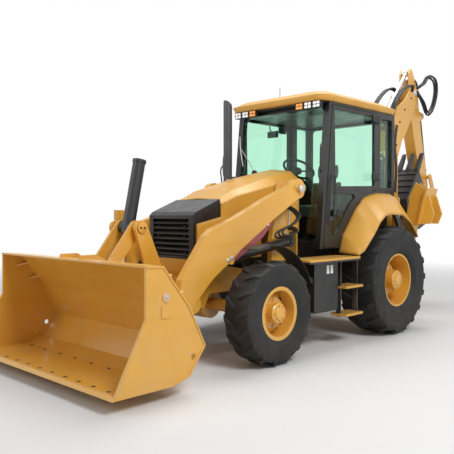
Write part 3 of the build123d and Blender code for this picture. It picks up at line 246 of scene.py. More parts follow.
def step_paint():
    """Yellow treads and deck edge on a black frame."""
    finish = Finish("step_paint")
    up = finish.node("ShaderNodeSeparateXYZ", Vector=finish.place).outputs["Z"]
    yellow = 0.0
    # middle height of a yellow band, and half its thickness: upper tread, lower tread, deck edge
    for middle, half in ((0.64, 0.0135), (0.34, 0.0135), (0.955, 0.011)):
        band = finish.node("ShaderNodeMath", {"operation": "COMPARE"})
        finish.feed(band.inputs[0], up)
        band.inputs[1].default_value = middle
        band.inputs[2].default_value = half
        yellow = finish.math("MAXIMUM", yellow, band.outputs[0])
    return finish.wear_and_edge_highlight(finish.mix(yellow, rgb(36, 36, 36), rgb(*DULL_YELLOW)),
                       finish.mix(yellow, rgb(26, 26, 27), rgb(*DULL_YELLOW_DEEP)),
                       rgb(170, 140, 90), 0.4, 300.0)


STEP_PAINT = step_paint()
# its wide edge radius also widens the paler edge colour, a painted highlight, on the hood, fenders and roof
SOFT_PAINT = painted("soft_paint", DULL_YELLOW, DULL_YELLOW_DEEP, (236, 190, 102), 0.42, 0.12, edge=0.045)
AMBER = lens("amber_lens", rgb(255, 150, 40), rgb(255, 186, 90))
BLANK_PLATE = painted("blank_plate", (238, 238, 236), (226, 226, 224), (250, 250, 250), 0.4, 0.2)


def finish_node(node, material):
    for held in frame["nodes"][node].material_slots:
        held.material = material


for part in frame["record"]["subparts"]:
    finish_node(part["node"], MATERIALS[part["material_slot"]])
finish_node("decks_and_steps", STEP_PAINT)
for node in ("hood", "rear_fenders", "cab_roof"):
    finish_node(node, SOFT_PAINT)


# ---------------------------------------------------------------- ways of making shapes
def new_object(name, form):
    """An object in the scene whose mesh is a bmesh, which is used up."""
    mesh = bpy.data.meshes.new(name)
    form.to_mesh(mesh)
    form.free()
    made = bpy.data.objects.new(name, mesh)
    bpy.context.scene.collection.objects.link(made)
    return made


def piece(name, form, slot, body, bevel=0.0, material=None):
    """Turn a bmesh into a named object that rides on a body."""
    bmesh.ops.recalc_face_normals(form, faces=form.faces)
    made = new_object(name, form)
    made.data.materials.append(material or MATERIALS[slot])
    made.data.shade_smooth()
    made.data.set_sharp_from_angle(angle=SHARP_ANGLE)
    if bevel:
        rounding = made.modifiers.new("rounding", "BEVEL")
        rounding.width = bevel
        rounding.segments = 2
        rounding.limit_method = "ANGLE"
    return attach(made, body)


def skin(form, rings, closed_loop=False):
    """Join rings of points, each with as many points, into a closed surface."""
    rows = [[form.verts.new(point) for point in ring] for ring in rings]
    pairs = list(zip(rows, rows[1:])) + ([(rows[-1], rows[0])] if closed_loop else [])
    for low, high in pairs:
        for here in range(len(low)):
            after = (here + 1) % len(low)
            form.faces.new((low[here], low[after], high[after], high[here]))
    if not closed_loop:
        form.faces.new(rows[0])
        form.faces.new(list(reversed(rows[-1])))


def full_turn(steps):
    return [2 * pi * step / steps for step in range(steps)]


def around(side, other, turn):
    """A unit vector at an angle, in the plane of two directions."""
    return side * cos(turn) + other * sin(turn)


def crossways(axis):
    """Two directions square to an axis."""
    side = axis.cross(Z if abs(axis.z) < 0.9 else X).normalized()
    return side, axis.cross(side).normalized()


def turned(form, centre, axis, profile, steps=ROUND_STEPS):
    """A solid turned about an axis, from (radius, distance along the axis)."""
    side, other = crossways(axis)
    point_radius = 0.0004            # of a profile's end on the axis
    skin(form, [[centre + axis * along + around(side, other, turn) * max(radius, point_radius)
                 for turn in full_turn(steps)] for radius, along in profile])


def block(form, corner, opposite):
    """A box between two opposite corners."""
    x, y, z = [sorted(pair) for pair in zip(corner, opposite)]
    outline = ((x[0], y[0]), (x[1], y[0]), (x[1], y[1]), (x[0], y[1]))
    skin(form, [[Vector((ahead, left, up)) for ahead, left in outline] for up in z])


def slab(form, outline, y, thickness):
    """A plate in the side view, from y outwards by its thickness, which may be negative."""
    skin(form, [[Vector((x, y + shift, z)) for x, z in outline] for shift in (0.0, thickness)])


def smooth_path(points, steps=6):
    """Points along a Catmull-Rom curve through the given points."""
    ends = [points[0] * 2 - points[1]] + list(points) + [points[-1] * 2 - points[-2]]
    path = []
    for a, b, c, d in zip(ends, ends[1:], ends[2:], ends[3:]):
        for step in range(steps):
            t = step / steps
            path.append(0.5 * ((2 * b) + (c - a) * t + (2 * a - 5 * b + 4 * c - d) * t ** 2
                               + (3 * b - a - 3 * c + d) * t ** 3))
    return path + [points[-1]]


def tube(form, points, radius, sides=10, steps=6):
    """A round tube along a smooth path, or a straight one where a stretch has one step."""
    path = smooth_path(points, steps) if steps > 1 else points
    across = crossways((path[1] - path[0]).normalized())[0]
    rings = []
    for here, point in enumerate(path):
        ahead = (path[min(here + 1, len(path) - 1)] - path[max(here - 1, 0)]).normalized()
        across = (across - ahead * across.dot(ahead)).normalized()
        other = ahead.cross(across)
        rings.append([point + around(across, other, turn) * radius for turn in full_turn(sides)])
    skin(form, rings)


def bolt(form, centre, axis, radius):
    """A hexagon head on a washer."""
    washer = ((1.5, 0.0), (1.5, 0.18), (1.02, 0.2))
    head = ((1.0, 0.15), (1.0, 0.75), (0.8, 0.85), (0.0, 0.85))
    for profile, steps in ((washer, 16), (head, 6)):
        turned(form, centre, axis, [(radius * out, radius * along) for out, along in profile], steps)


def ring_of_bolts(form, centre, axis, circle, count, radius):
    side, other = crossways(axis)
    for turn in full_turn(count):
        bolt(form, centre + around(side, other, turn) * circle, axis, radius)


# ---------------------------------------------------------------- camera, floor and light
VIEW_FROM = Vector((5.9795, 4.719, 1.424))
YAW, PITCH = radians(224.49), radians(-1.17)
LENS_MM, SENSOR_MM = 48.75, 36.0
FLOOR_RADIUS, FLOOR_THICKNESS, FLOOR_TONE = 90, 0.02, 0.72
FADE_START, FADE_END = 5.0, 12.0     # distance from the middle over which the floor turns white
WORLD_LEVEL = 0.36                   # light from all round, where 1 is what the camera sees
AIM_POINT = Vector((0, 0, 1.0))      # where the lamps point


def look_along(made, direction):
    made.rotation_euler = direction.to_track_quat("-Z", "Y").to_euler()


camera = bpy.data.objects.new("camera", bpy.data.cameras.new("camera"))
bpy.context.scene.collection.objects.link(camera)
camera.location = VIEW_FROM
look_along(camera, Vector((cos(YAW) * cos(PITCH), sin(YAW) * cos(PITCH), sin(PITCH))))
camera.data.sensor_width = SENSOR_MM
camera.data.lens = LENS_MM
bpy.context.scene.camera = camera
bpy.context.scene.view_settings.view_transform = "Standard"


def paper(name, tone):
    """A pale floor that fades to plain white far off, and takes the object's shadow near it."""
    sheet = Finish(name, Roughness=0.9)
    pale, deep = [(level, level, level, 1) for level in (tone, tone * 0.97)]
    grain = sheet.mix(sheet.ramp(sheet.noise(0.7), 0.0, 1.0, 0.3, 0.7), pale, deep)
    sheet.feed(sheet.shader.inputs["Base Color"], grain)
    far = sheet.node("ShaderNodeVectorMath", {"operation": "LENGTH"}, Vector=sheet.place).outputs["Value"]
    white = sheet.node("ShaderNodeEmission", Color=WHITE, Strength=1.0)
    blend = sheet.node("ShaderNodeMixShader", Fac=sheet.ramp(far, 0.0, 1.0, FADE_START, FADE_END))
    sheet.tree.links.new(sheet.shader.outputs[0], blend.inputs[1])
    sheet.tree.links.new(white.outputs[0], blend.inputs[2])
    sheet.tree.links.new(blend.outputs[0], sheet.tree.nodes["Material Output"].inputs["Surface"])
    return sheet.material


ground = bmesh.new()
skin(ground, [[Vector((FLOOR_RADIUS * cos(turn), FLOOR_RADIUS * sin(turn), depth)) for turn in full_turn(48)]
              for depth in (-FLOOR_THICKNESS, 0.0)])
floor = new_object("floor", ground)
floor.data.materials.append(paper("floor_paper", FLOOR_TONE))

world = bpy.data.worlds.new("studio")
bpy.context.scene.world = world
world.use_nodes = True
sky = world.node_tree
rays = sky.nodes.new("ShaderNodeLightPath")
seen = rays.outputs["Is Camera Ray"]
for kind in ("Is Glossy Ray", "Is Transmission Ray"):
    either = sky.nodes.new("ShaderNodeMath")
    either.operation = "MAXIMUM"
    sky.links.new(seen, either.inputs[0])
    sky.links.new(rays.outputs[kind], either.inputs[1])
    seen = either.outputs[0]
level = sky.nodes.new("ShaderNodeMapRange")
level.inputs["To Min"].default_value = WORLD_LEVEL
level.inputs["To Max"].default_value = 1.0
sky.links.new(seen, level.inputs["Value"])
sky.links.new(level.outputs["Result"], sky.nodes["Background"].inputs["Strength"])
sky.nodes["Background"].inputs["Color"].default_value = WHITE

# name, place, diameter, power in watts
for name, place, size, power in (("key", (3.0, 7.5, 7.5), 3.5, 560.0),
                                 ("top", (-2.0, -0.5, 9.0), 5.0, 400.0),
                                 ("front", (9.0, -3.0, 5.0), 4.0, 110.0)):
    lamp = bpy.data.objects.new(name, bpy.data.lights.new(name, "AREA"))
    bpy.context.scene.collection.objects.link(lamp)
    lamp.data.shape = "DISK"
    lamp.data.size = size
    lamp.data.energy = power
    lamp.location = place
    look_along(lamp, AIM_POINT - Vector(place))


# ---------------------------------------------------------------- wheels
LUG_HEIGHT = 0.030
HUB_SUNK = 0.006                 # the hub cap's foot, behind the rim's outermost face
DISC_SHARE, DISC_PROUD = 0.10, 0.014     # the disc's face from the wheel's middle: of the width, and more
HUB_BOLT, WHEEL_NUT = 0.008, 0.013       # radii
HOLE_OUTSIDE_NUTS = 0.036        # from the circle of the nuts to that of the balance holes
VALVE_SHARE = 0.80               # the valve's place, as a share of the bead seat's radius
WHEELS = (
    # wheel, outward side, lugs on each side, wheel nuts, bolt circle's radius, hub's radius
    ("front_left", 1, 16, 8, 0.126, 0.100),
    ("front_right", -1, 16, 8, 0.126, 0.100),
    ("rear_left", 1, 18, 10, 0.142, 0.112),
    ("rear_right", -1, 18, 10, 0.142, 0.112),
)


LUG_TOP_GAP = 0.003              # from a lug's top to the solid tyre's outside
LUG_INNER, LUG_OUTER = 0.012, 0.49   # where a lug starts beside the middle, and its end, of the width
LUG_SWEEP, LUG_CURVE = 0.165, 1.15   # angle by which it leans back at its end, and the power of the lean
LUG_HALF_ANGLES = (0.0391, 0.0575)   # half its width as an angle, at its start and end
LUG_FOOT, LUG_CROWN = 1.22, 0.86     # widths of its foot and its chamfered top, of that half width
SHOULDER_START, SHOULDER_DROP = 0.32, 0.15    # shares of the width from which and over which it comes down


def lug(form, centre, side, start, radius, tread, width):
    """One curved bar of the tread, from near the middle to the shoulder, which it wraps."""
    narrow, wide = LUG_HALF_ANGLES
    sections = []
    for share in (0.0, 0.10, 0.25, 0.42, 0.60, 0.76, 0.88, 0.96, 1.0):
        lateral = LUG_INNER + share * (LUG_OUTER * width - LUG_INNER)
        middle = start + LUG_SWEEP * share ** LUG_CURVE
        half_angle = narrow + (wide - narrow) * share
        drop = max(0.0, (lateral / width - SHOULDER_START) / SHOULDER_DROP)
        top = radius - LUG_TOP_GAP - drop * (radius - tread)
        foot = tread * (0.985 if share < 0.9 else 0.93)
        ring = []
        for reach, hand in ((foot, -LUG_FOOT), (top, -LUG_CROWN), (top, LUG_CROWN), (foot, LUG_FOOT)):
            turn = middle + hand * half_angle
            ring.append(centre + Y * side * lateral + Vector((sin(turn), 0, -cos(turn))) * reach)
        sections.append(ring)
    skin(form, sections)


def tyre(name, lugs, body):
    """A cross-ply tyre with ribbed sidewalls and two rows of curved, chamfered lugs."""
    low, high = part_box("tyre_" + name)
    rim_low, rim_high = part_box("rim_" + name)
    centre = (low + high) / 2
    radius, width = (high.z - low.z) / 2, high.y - low.y
    seat = (rim_high.z - rim_low.z) / 2 - 0.020
    tread = radius - LUG_HEIGHT

    def wall(share):
        """A radius between the bead and the tread."""
        return share * tread + (1 - share) * seat

    # share of the width to one side, and radius: from the bead, up the wall's ribs, to the crown
    half = ((0.40, seat + 0.002), (0.44, seat + 0.028), (0.455, seat + 0.034), (0.458, seat + 0.052),
            (0.478, seat + 0.060), (0.493, wall(0.5)), (0.497, wall(0.55)), (0.489, wall(0.72)),
            (0.492, wall(0.74)), (0.480, wall(0.88)), (0.455, 0.975 * tread), (0.40, 0.988 * tread),
            (0.20, tread), (0.0, tread))
    profile = [(reach, share * width) for share, reach in half]
    profile += [(reach, -share * width) for share, reach in reversed(half[:-1])]
    form = bmesh.new()
    skin(form, [[centre + Y * side + Vector((sin(turn), 0, cos(turn))) * reach for turn in full_turn(96)]
                for reach, side in profile], closed_loop=True)
    for side, stagger in ((1, 0.0), (-1, 0.5)):
        for step in range(lugs):
            lug(form, centre, side, 2 * pi * (step + stagger) / lugs, radius, tread, width)
    made = piece("dressed_tyre_" + name, form, "tyre_rubber", body, bevel=0.005)
    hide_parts("tyre_" + name)
    return centre, seat


def wheel_trim(name, out, nuts, circle, hub_radius, centre, seat):
    """Nuts, hub cap with its bolts, balance holes filled with black discs of painted shade, and valve of one
    wheel.
    """
    body, outward = "wheel_" + name, Y * out
    tyre_low, tyre_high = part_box("tyre_" + name)
    low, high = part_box("rim_" + name)
    hub_face = centre.copy()
    hub_face.y = (high.y if out > 0 else low.y) - out * HUB_SUNK
    disc = centre.copy()
    disc.y += out * (DISC_SHARE * (tyre_high.y - tyre_low.y) + DISC_PROUD)

    def on_disc(turn, reach, sunk):
        """A point at an angle and a distance from the wheel's middle, behind the disc's face."""
        return disc + Vector((cos(turn) * reach, -out * sunk, sin(turn) * reach))

    hub = bmesh.new()
    cap = ((0.62 * hub_radius, -0.01), (0.62 * hub_radius, 0.006), (0.55 * hub_radius, 0.012),
           (0.2 * hub_radius, 0.014), (0.0, 0.0145))
    turned(hub, hub_face, outward, cap, 32)
    ring_of_bolts(hub, hub_face, outward, 0.76 * hub_radius, nuts, HUB_BOLT)
    piece("hub_cap_" + name, hub, "yellow_paint", body)

    nut_form = bmesh.new()
    ring_of_bolts(nut_form, disc, outward, circle, nuts, WHEEL_NUT)
    piece("wheel_nuts_" + name, nut_form, "yellow_paint", body)

    # painted shade: a black rimmed disc in each balance hole, for the dark seen through it
    holes = bmesh.new()
    rim = ((0.017, -0.004), (0.017, 0.0075), (0.013, 0.008), (0.012, 0.004), (0.0, 0.004))
    for turn in full_turn(4):
        turned(holes, on_disc(turn + pi / 4, circle + HOLE_OUTSIDE_NUTS, 0.012), outward, rim, 20)
    piece("shaded_disc_holes_" + name, holes, "cab_black", body)

    valve = bmesh.new()
    stem = ((0.007, 0.0), (0.007, 0.03), (0.005, 0.032), (0.005, 0.045), (0.0, 0.046))
    turned(valve, on_disc(0, VALVE_SHARE * seat, 0.03), outward, stem, 10)
    piece("valve_" + name, valve, "bare_steel", body)


for name, out, lugs, nuts, circle, hub_radius in WHEELS:
    centre, seat = tyre(name, lugs, "wheel_" + name)
    wheel_trim(name, out, nuts, circle, hub_radius, centre, seat)


# ---------------------------------------------------------------- seat
def settle(made):
    """Apply what the modifiers give."""
    bpy.context.view_layer.update()
    graph = bpy.context.evaluated_depsgraph_get()
    mesh = bpy.data.meshes.new_from_object(made.evaluated_get(graph))
    made.modifiers.clear()
    made.data = mesh


def puff_up(made, most):
    """Blow a pad up by a short cloth run, in which no point moves further than the most."""
    start = [vert.co.copy() for vert in made.data.vertices]
    run = made.modifiers.new("cloth", "CLOTH")
    run.settings.use_pressure = True
    run.settings.uniform_pressure_force = 4.0
    run.settings.effector_weights.gravity = 0.0
    for step in range(1, 21):
        bpy.context.scene.frame_set(step)
    settle(made)
    bpy.context.scene.frame_set(1)
    for vert, rest in zip(made.data.vertices, start):
        move = vert.co - rest
        vert.co = rest + move * min(1.0, most / max(move.length, 1e-6))


def cushion(name, node, low, high, tilt, puff):
    """A crowned pad in a box: remeshed, blown up a little, then quilted along two seams."""
    inset, seam, seam_half, seam_depth = 0.012, 0.11, 0.012, 0.010
    form = bmesh.new()
    middle = (low + high) / 2
    half = (high - low) / 2 - Vector((inset, inset, inset))
    bmesh.ops.create_cube(form, size=2.0)
    bmesh.ops.subdivide_edges(form, edges=form.edges, cuts=6, use_grid_fill=True)
    for vert in form.verts:
        x, y, z = vert.co
        pinch = 1.0 - 0.10 * (x * x * y * y * z * z)
        vert.co = Vector((x * half.x, y * half.y, z * half.z)) * pinch
        vert.co.x += tilt * vert.co.z
        vert.co += middle
    made = new_object(name, form)
    remesh = made.modifiers.new("remesh", "REMESH")
    remesh.mode = "VOXEL"
    remesh.voxel_size = 0.011
    settle(made)
    puff_up(made, puff)
    for vert in made.data.vertices:
        spread = vert.co - middle
        for channel in (-seam, seam):
            depth = seam_depth * max(0.0, 1.0 - abs(spread.y - channel) / seam_half)
            vert.co -= spread.normalized() * depth
    made.data.shade_smooth()
    made.data.materials.clear()
    made.data.materials.append(MATERIALS["seat_cloth"])
    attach(made, "chassis")
    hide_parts(node)
    return made


seat_low, seat_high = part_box("seat")
seat_back_front = seat_low.x + 0.16
cushion("seat_base", "seat", Vector((seat_back_front, seat_low.y, seat_low.z + 0.30)),
        Vector((seat_high.x, seat_high.y, seat_low.z + 0.44)), tilt=0.0, puff=0.016)
cushion("seat_back", "seat", Vector((seat_low.x + 0.04, seat_low.y + 0.02, seat_low.z + 0.42)),
        Vector((seat_back_front, seat_high.y - 0.02, seat_high.z - 0.22)), tilt=-0.12, puff=0.014)
cushion("seat_headrest", "seat", Vector((seat_low.x, seat_low.y + 0.10, seat_high.z - 0.20)),
        Vector((seat_back_front - 0.05, seat_high.y - 0.10, seat_high.z)), tilt=-0.06, puff=0.010)


# ---------------------------------------------------------------- small details
rear_axle = PIVOT["wheel_rear_left_spin"]


def at(ahead, left, up):
    """A point given ahead of the rear axle, to the machine's left and above the ground."""
    return Vector((rear_axle.x + ahead, left, up))


def detail(name, slot, body, bevel=0.0, material=None):
    """Make a piece from a function that adds its shape to a bmesh."""
    def build(shape):
        form = bmesh.new()
        shape(form)
        return piece(name, form, slot, body, bevel, material)
    return build


@detail("cutting_edge_bolts", "cast_dark", "loader_bucket")
def cutting_edge_bolts(form):
    """Flat heads in two rows: on the cutting edge, and on the floor behind it."""
    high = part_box("loader_bucket")[1]
    edge_head = ((0.019, 0.0), (0.019, 0.003), (0.012, 0.004), (0.0, 0.004))
    floor_head = ((0.013, 0.0), (0.013, 0.004), (0.0, 0.005))
    # bolts, distance behind the lip, margin at each end, height, head, sides of the head
    for count, behind, margin, up, head, steps in ((11, 0.085, 0.06, 0.1345, edge_head, 14),
                                                   (8, 0.50, 0.10, 0.126, floor_head, 12)):
        for step in range(count):
            share = -1 + 2 * (step + 0.5) / count
            turned(form, Vector((high.x - behind, share * (high.y - margin), up)), Z, head, steps)


@detail("cutting_edge_plate", "yellow_paint", "loader_bucket", bevel=0.002)
def cutting_edge_plate(form):
    """The wear strip bolted along the floor's front."""
    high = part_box("loader_bucket")[1]
    reach, bottom, top = high.y - 0.045, 0.129, 0.1365
    block(form, (high.x - 0.14, -reach, bottom), (high.x - 0.050, reach, top))


@detail("bucket_weld_beads", "yellow_paint", "loader_bucket")
def bucket_weld_beads(form):
    """A bead along the shell inside each side sheet, from the lip to the top of the back."""
    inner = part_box("loader_bucket")[1].y - 0.030
    seam = ((4.10, 0.140), (3.61, 0.131), (3.43, 0.182), (3.28, 0.385), (3.435, 0.69), (3.69, 1.012))
    for name, side in SIDES:
        tube(form, [at(ahead, side * inner, up) for ahead, up in seam], 0.006, 8, 3)


@detail("bucket_gussets", "yellow_paint", "loader_bucket", bevel=0.003)
def bucket_gussets(form):
    """Three-cornered plates in the upper corners, between the back and the side sheets."""
    wall, arm, thickness = 1.120, 0.13, 0.016
    for name, side in SIDES:
        for ahead, up in ((3.50, 0.76), (3.62, 0.90)):
            corners = ((ahead - 0.05, wall, up + 0.05), (ahead - 0.05, wall - arm, up + 0.05),
                       (ahead + 0.10, wall, up))
            skin(form, [[at(x, side * left, z + shift) for x, left, z in corners]
                        for shift in (0.0, thickness)])


@detail("bucket_side_bolts", "bare_steel", "loader_bucket")
def bucket_side_bolts(form):
    """On each side sheet: a rimmed boss with its bolt, and two bolts lower down."""
    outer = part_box("loader_bucket")[1].y
    rim = ((0.030, 0.0), (0.030, 0.003), (0.022, 0.004), (0.020, 0.001), (0.0, 0.001))
    for name, side in SIDES:
        turned(form, at(3.657, side * (outer - 0.003), 0.798), Y * side, rim)
        for ahead, sunk, up, radius in ((3.657, 0.002, 0.798, 0.011), (3.585, 0.010, 0.250, 0.010),
                                        (3.425, 0.010, 0.335, 0.008)):
            bolt(form, at(ahead, side * (outer - sunk), up), Y * side, radius)


LAMPS = (-0.600, -0.480, -0.360, 0.360, 0.480, 0.600)    # places across the roof's front


@detail("lamp_housings", "black_plastic", "chassis", bevel=0.006)
def lamp_housings(form):
    """A box with a slightly larger bezel for each lamp."""
    low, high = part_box("lamps")
    for left in LAMPS:
        for back, front, half in ((low.x, high.x - 0.010, 0.054), (high.x - 0.012, high.x - 0.002, 0.056)):
            block(form, (back, left - half, low.z + 0.004), (front, left + half, high.z - 0.002))


def lamp_lenses(name, places, material):
    """Two by two domed lenses in each lamp."""
    low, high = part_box("lamps")
    face, middle = high.x - 0.004, (low.z + high.z) / 2
    half_width, half_height = 0.0205, 0.0150
    form = bmesh.new()
    for left in places:
        for across in (-0.024, 0.024):
            for up in (-0.018, 0.018):
                skin(form, [[Vector((face + bulge, left + across + y * half_width * share,
                                     middle + up + z * half_height * share))
                             for y, z in ((-1, -1), (1, -1), (1, 1), (-1, 1))]
                            for share, bulge in ((1.0, 0.0), (0.96, 0.004), (0.7, 0.006), (0.3, 0.007))])
    piece(name, form, "lamp_lens", "chassis", bevel=0.002, material=material)


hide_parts("lamps")
lamp_lenses("white_lenses", [left for left in LAMPS if abs(left) > 0.4], MATERIALS["lamp_lens"])
lamp_lenses("amber_lenses", [left for left in LAMPS if abs(left) < 0.4], AMBER)


@detail("roof_edge_shade_strip", "cab_black", "chassis", bevel=0.004)
def roof_edge_shade_strip(form):
    """A dark strip of painted shade behind the lamps, under the roof's edge."""
    low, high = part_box("lamps")
    reach, depth = 0.66, 0.06
    block(form, (low.x - depth, -reach, high.z - 0.02), (low.x, reach, high.z + 0.004))


@detail("grille_bolts", "black_plastic", "chassis")
def grille_bolts(form):
    """Two bolts on each bar."""
    low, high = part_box("grille")
    first_share, spacing_share = 0.10, 0.145
    for row in range(5):
        up = low.z + (high.z - low.z) * (first_share + spacing_share * row)
        for left in (-0.20, 0.20):
            bolt(form, Vector((high.x - 0.012, left, up)), X, 0.009)


@detail("hood_seams", "cab_black", "chassis")
def hood_seams(form):
    """The parting line along each side of the hood."""
    low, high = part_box("hood")
    proud = high.y + 0.0005
    for name, side in SIDES:
        tube(form, [Vector((low.x + 0.10, side * proud, low.z + 0.30)),
                    Vector((high.x - 0.05, side * proud, low.z + 0.16))], 0.004, 6, 1)


@detail("hood_latches", "black_plastic", "chassis", bevel=0.003)
def hood_latches(form):
    """Two round latches low on each side of the hood."""
    low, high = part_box("hood")
    latch = ((0.016, -0.004), (0.016, 0.003), (0.010, 0.004), (0.0, 0.004))
    for name, side in SIDES:
        for share in (0.25, 0.75):
            middle = Vector((low.x + (high.x - low.x) * share, side * high.y, low.z + 0.10))
            turned(form, middle, Y * side, latch, 20)


@detail("grille_surround", "cab_black", "chassis", bevel=0.004)
def grille_surround(form):
    """An upright strip at each end of the bars."""
    low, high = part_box("grille")
    inner, outer, top = high.y - 0.035, high.y - 0.005, low.z + (high.z - low.z) * 0.72
    for name, side in SIDES:
        block(form, (high.x - 0.030, side * inner, low.z + 0.02), (high.x - 0.004, side * outer, top))


@detail("cab_window_seals", "black_plastic", "chassis")
def cab_window_seals(form):
    """A seal down each side of the windscreen."""
    low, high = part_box("cab_glass")
    reach = 0.60
    for name, side in SIDES:
        tube(form, [Vector((high.x - 0.02, side * reach, low.z + 0.10)),
                    Vector((high.x - 0.17, side * reach, high.z - 0.06))], 0.006, 8, 1)


@detail("mirror_and_bracket", "black_plastic", "chassis", bevel=0.010)
def mirror_and_bracket(form):
    """The mirror inside the cab, behind the windscreen's top."""
    tube(form, [at(0.62, -0.42, 2.55), at(0.66, -0.38, 2.50), at(0.68, -0.34, 2.46)], 0.008, 8)
    block(form, at(0.665, -0.40, 2.39), at(0.690, -0.24, 2.47))


@detail("arm_pin_caps", "bare_steel", "loader_arms", bevel=0.002)
def arm_pin_caps(form):
    """On each arm: the pivot's cap, the bolt that keeps its pin, and the lower pin's end."""
    pivot, outer = PIVOT["loader_lift"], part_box("loader_arms")[1].y
    cap = ((0.040, 0.0), (0.040, 0.005), (0.030, 0.007), (0.026, 0.012), (0.0, 0.013))
    pin_end = ((0.022, 0.0), (0.022, 0.004), (0.014, 0.006), (0.0, 0.006))
    for name, side in SIDES:
        turned(form, Vector((pivot.x, side * (outer - 0.004), pivot.z)), Y * side, cap, 28)
        bolt(form, Vector((pivot.x + 0.066, side * (outer - 0.020), pivot.z + 0.02)), Y * side, 0.008)
        turned(form, at(2.455, side * 0.678, 1.010), Y * side, pin_end)


@detail("brace_channel", "red_paint", "loader_arms", bevel=0.004)
def brace_channel(form):
    """The two side sheets of the red service brace."""
    low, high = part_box("lift_brace")
    gap, thickness = 0.003, 0.005
    edge = ((2.545, 0.998), (2.512, 0.962), (2.375, 0.990), (1.998, 1.200), (1.880, 1.318), (1.900, 1.348))
    sheet = [(rear_axle.x + ahead, up) for ahead, up in edge]
    slab(form, sheet, high.y + gap, thickness)
    slab(form, sheet, low.y - gap, -thickness)


@detail("brace_pin", "bare_steel", "loader_arms")
def brace_pin(form):
    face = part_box("lift_brace")[1].y + 0.007
    for ahead, up, radius in ((2.500, 0.990, 0.022), (1.930, 1.318, 0.013)):
        turned(form, at(ahead, face, up), Y,
               ((radius, 0.0), (radius, 0.004), (radius * 0.7, 0.009), (0.0, 0.010)), 20)


@detail("lever_apex_discs", "yellow_paint", "tilt_lever", bevel=0.001)
def lever_apex_discs(form):
    """The keeper plates on the ends of the tilt lever's top pin."""
    apex, face = PIVOT["tilt_link_pivot"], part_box("tilt_lever")[1].y
    disc = ((0.050, 0.0), (0.050, 0.006), (0.046, 0.008), (0.0, 0.008))
    for name, side in SIDES:
        turned(form, Vector((apex.x, side * (face - 0.004), apex.z)), Y * side, disc, 28)


@detail("lever_apex_bolts", "cast_dark", "tilt_lever")
def lever_apex_bolts(form):
    apex, face = PIVOT["tilt_link_pivot"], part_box("tilt_lever")[1].y
    for name, side in SIDES:
        for shift in (-0.020, 0.020):
            bolt(form, Vector((apex.x + shift, side * (face + 0.003), apex.z)), Y * side, 0.008)


@detail("tower_hoses", "black_plastic", "chassis")
def tower_hoses(form):
    """Loops from the tower's back edge, outside the lift cylinder's swing and below the arm."""
    tower, tower_face, loop_side, spacing = 0.725, 0.474, 0.620, 0.022
    # ahead of the tower's edge, above the ground, share of the way out to the loop's side
    route = ((0.0, 1.500, 0.0), (-0.015, 1.480, 0.2), (-0.020, 1.440, 0.6), (0.010, 1.380, 1.0),
             (0.110, 1.310, 1.0), (0.230, 1.275, 1.0), (0.330, 1.245, 1.0), (0.370, 1.205, 1.0),
             (0.320, 1.180, 1.0), (0.200, 1.180, 1.0), (0.080, 1.205, 1.0), (0.000, 1.240, 0.7),
             (-0.020, 1.260, 0.3), (-0.015, 1.265, 0.0))
    for name, side in SIDES:
        for index in range(3):
            out, reach = loop_side + spacing * index - tower_face, 1.0 - 0.09 * index
            tube(form, [Vector((tower + ahead * reach, side * (tower_face + out * share),
                                up + 0.014 * index)) for ahead, up, share in route], 0.011)


@detail("tower_tap", "bare_steel", "chassis")
def tower_tap(form):
    """A short pipe on each tower's outer face."""
    face, proud = 0.479, 0.50
    for name, side in SIDES:
        tube(form, [at(1.359, side * face, 1.52), at(1.362, side * proud, 1.50),
                    at(1.380, side * proud, 1.31), at(1.384, side * face, 1.29)], 0.008, 8)


@detail("steering_wheel", "black_plastic", "chassis")
def steering_wheel(form):
    centre, axis = at(0.56, 0.0, 1.985), Vector((-0.55, 0, 0.835)).normalized()
    side, other = crossways(axis)
    radius, thickness = 0.195, 0.015
    rings = []
    for turn in full_turn(36):
        outward = around(side, other, turn)
        rings.append([centre + outward * radius + around(outward, axis, round_rim) * thickness
                      for round_rim in full_turn(8)])
    skin(form, rings, closed_loop=True)
    column_and_hub = ((0.020, -0.30), (0.024, 0.0), (0.050, 0.015), (0.050, 0.05), (0.040, 0.06),
                      (0.0, 0.062))
    turned(form, centre - axis * 0.06, axis, column_and_hub)
    for turn in full_turn(3):
        spoke_end = centre + around(side, other, turn + 0.3) * 0.19
        tube(form, [centre - axis * 0.03, spoke_end], 0.010, 8, 1)


@detail("wiper", "bare_steel", "chassis")
def wiper(form):
    """The arm, and the blade across its end."""
    for route in ([at(1.075, -0.286, 1.93), at(1.06, -0.36, 2.04), at(1.01, -0.56, 2.24)],
                  [at(1.04, -0.50, 2.02), at(1.02, -0.56, 2.24), at(0.985, -0.60, 2.40)]):
        tube(form, route, 0.006, 8)


@detail("wiper_motor", "black_plastic", "chassis")
def wiper_motor(form):
    housing = ((0.030, 0.0), (0.030, 0.030), (0.020, 0.040), (0.0, 0.041))
    turned(form, at(1.050, -0.286, 1.93), X, housing)


@detail("grab_rails", "cab_black", "chassis")
def grab_rails(form):
    """A rail beside each front corner post of the cab."""
    # ahead, to the side, up
    route = ((1.05, 0.69, 2.18), (1.10, 0.73, 2.19), (1.13, 0.745, 2.14), (1.135, 0.745, 1.96),
             (1.12, 0.735, 1.90), (1.05, 0.69, 1.90))
    for name, side in SIDES:
        tube(form, [at(ahead, side * left, up) for ahead, left, up in route], 0.012)


@detail("antenna", "cab_black", "chassis")
def antenna(form):
    base = at(0.88, -0.04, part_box("cab_roof")[1].z - 0.03)
    whip = ((0.016, 0.0), (0.012, 0.02), (0.004, 0.035), (0.003, 0.16), (0.0, 0.161))
    turned(form, base, Z, whip, 10)


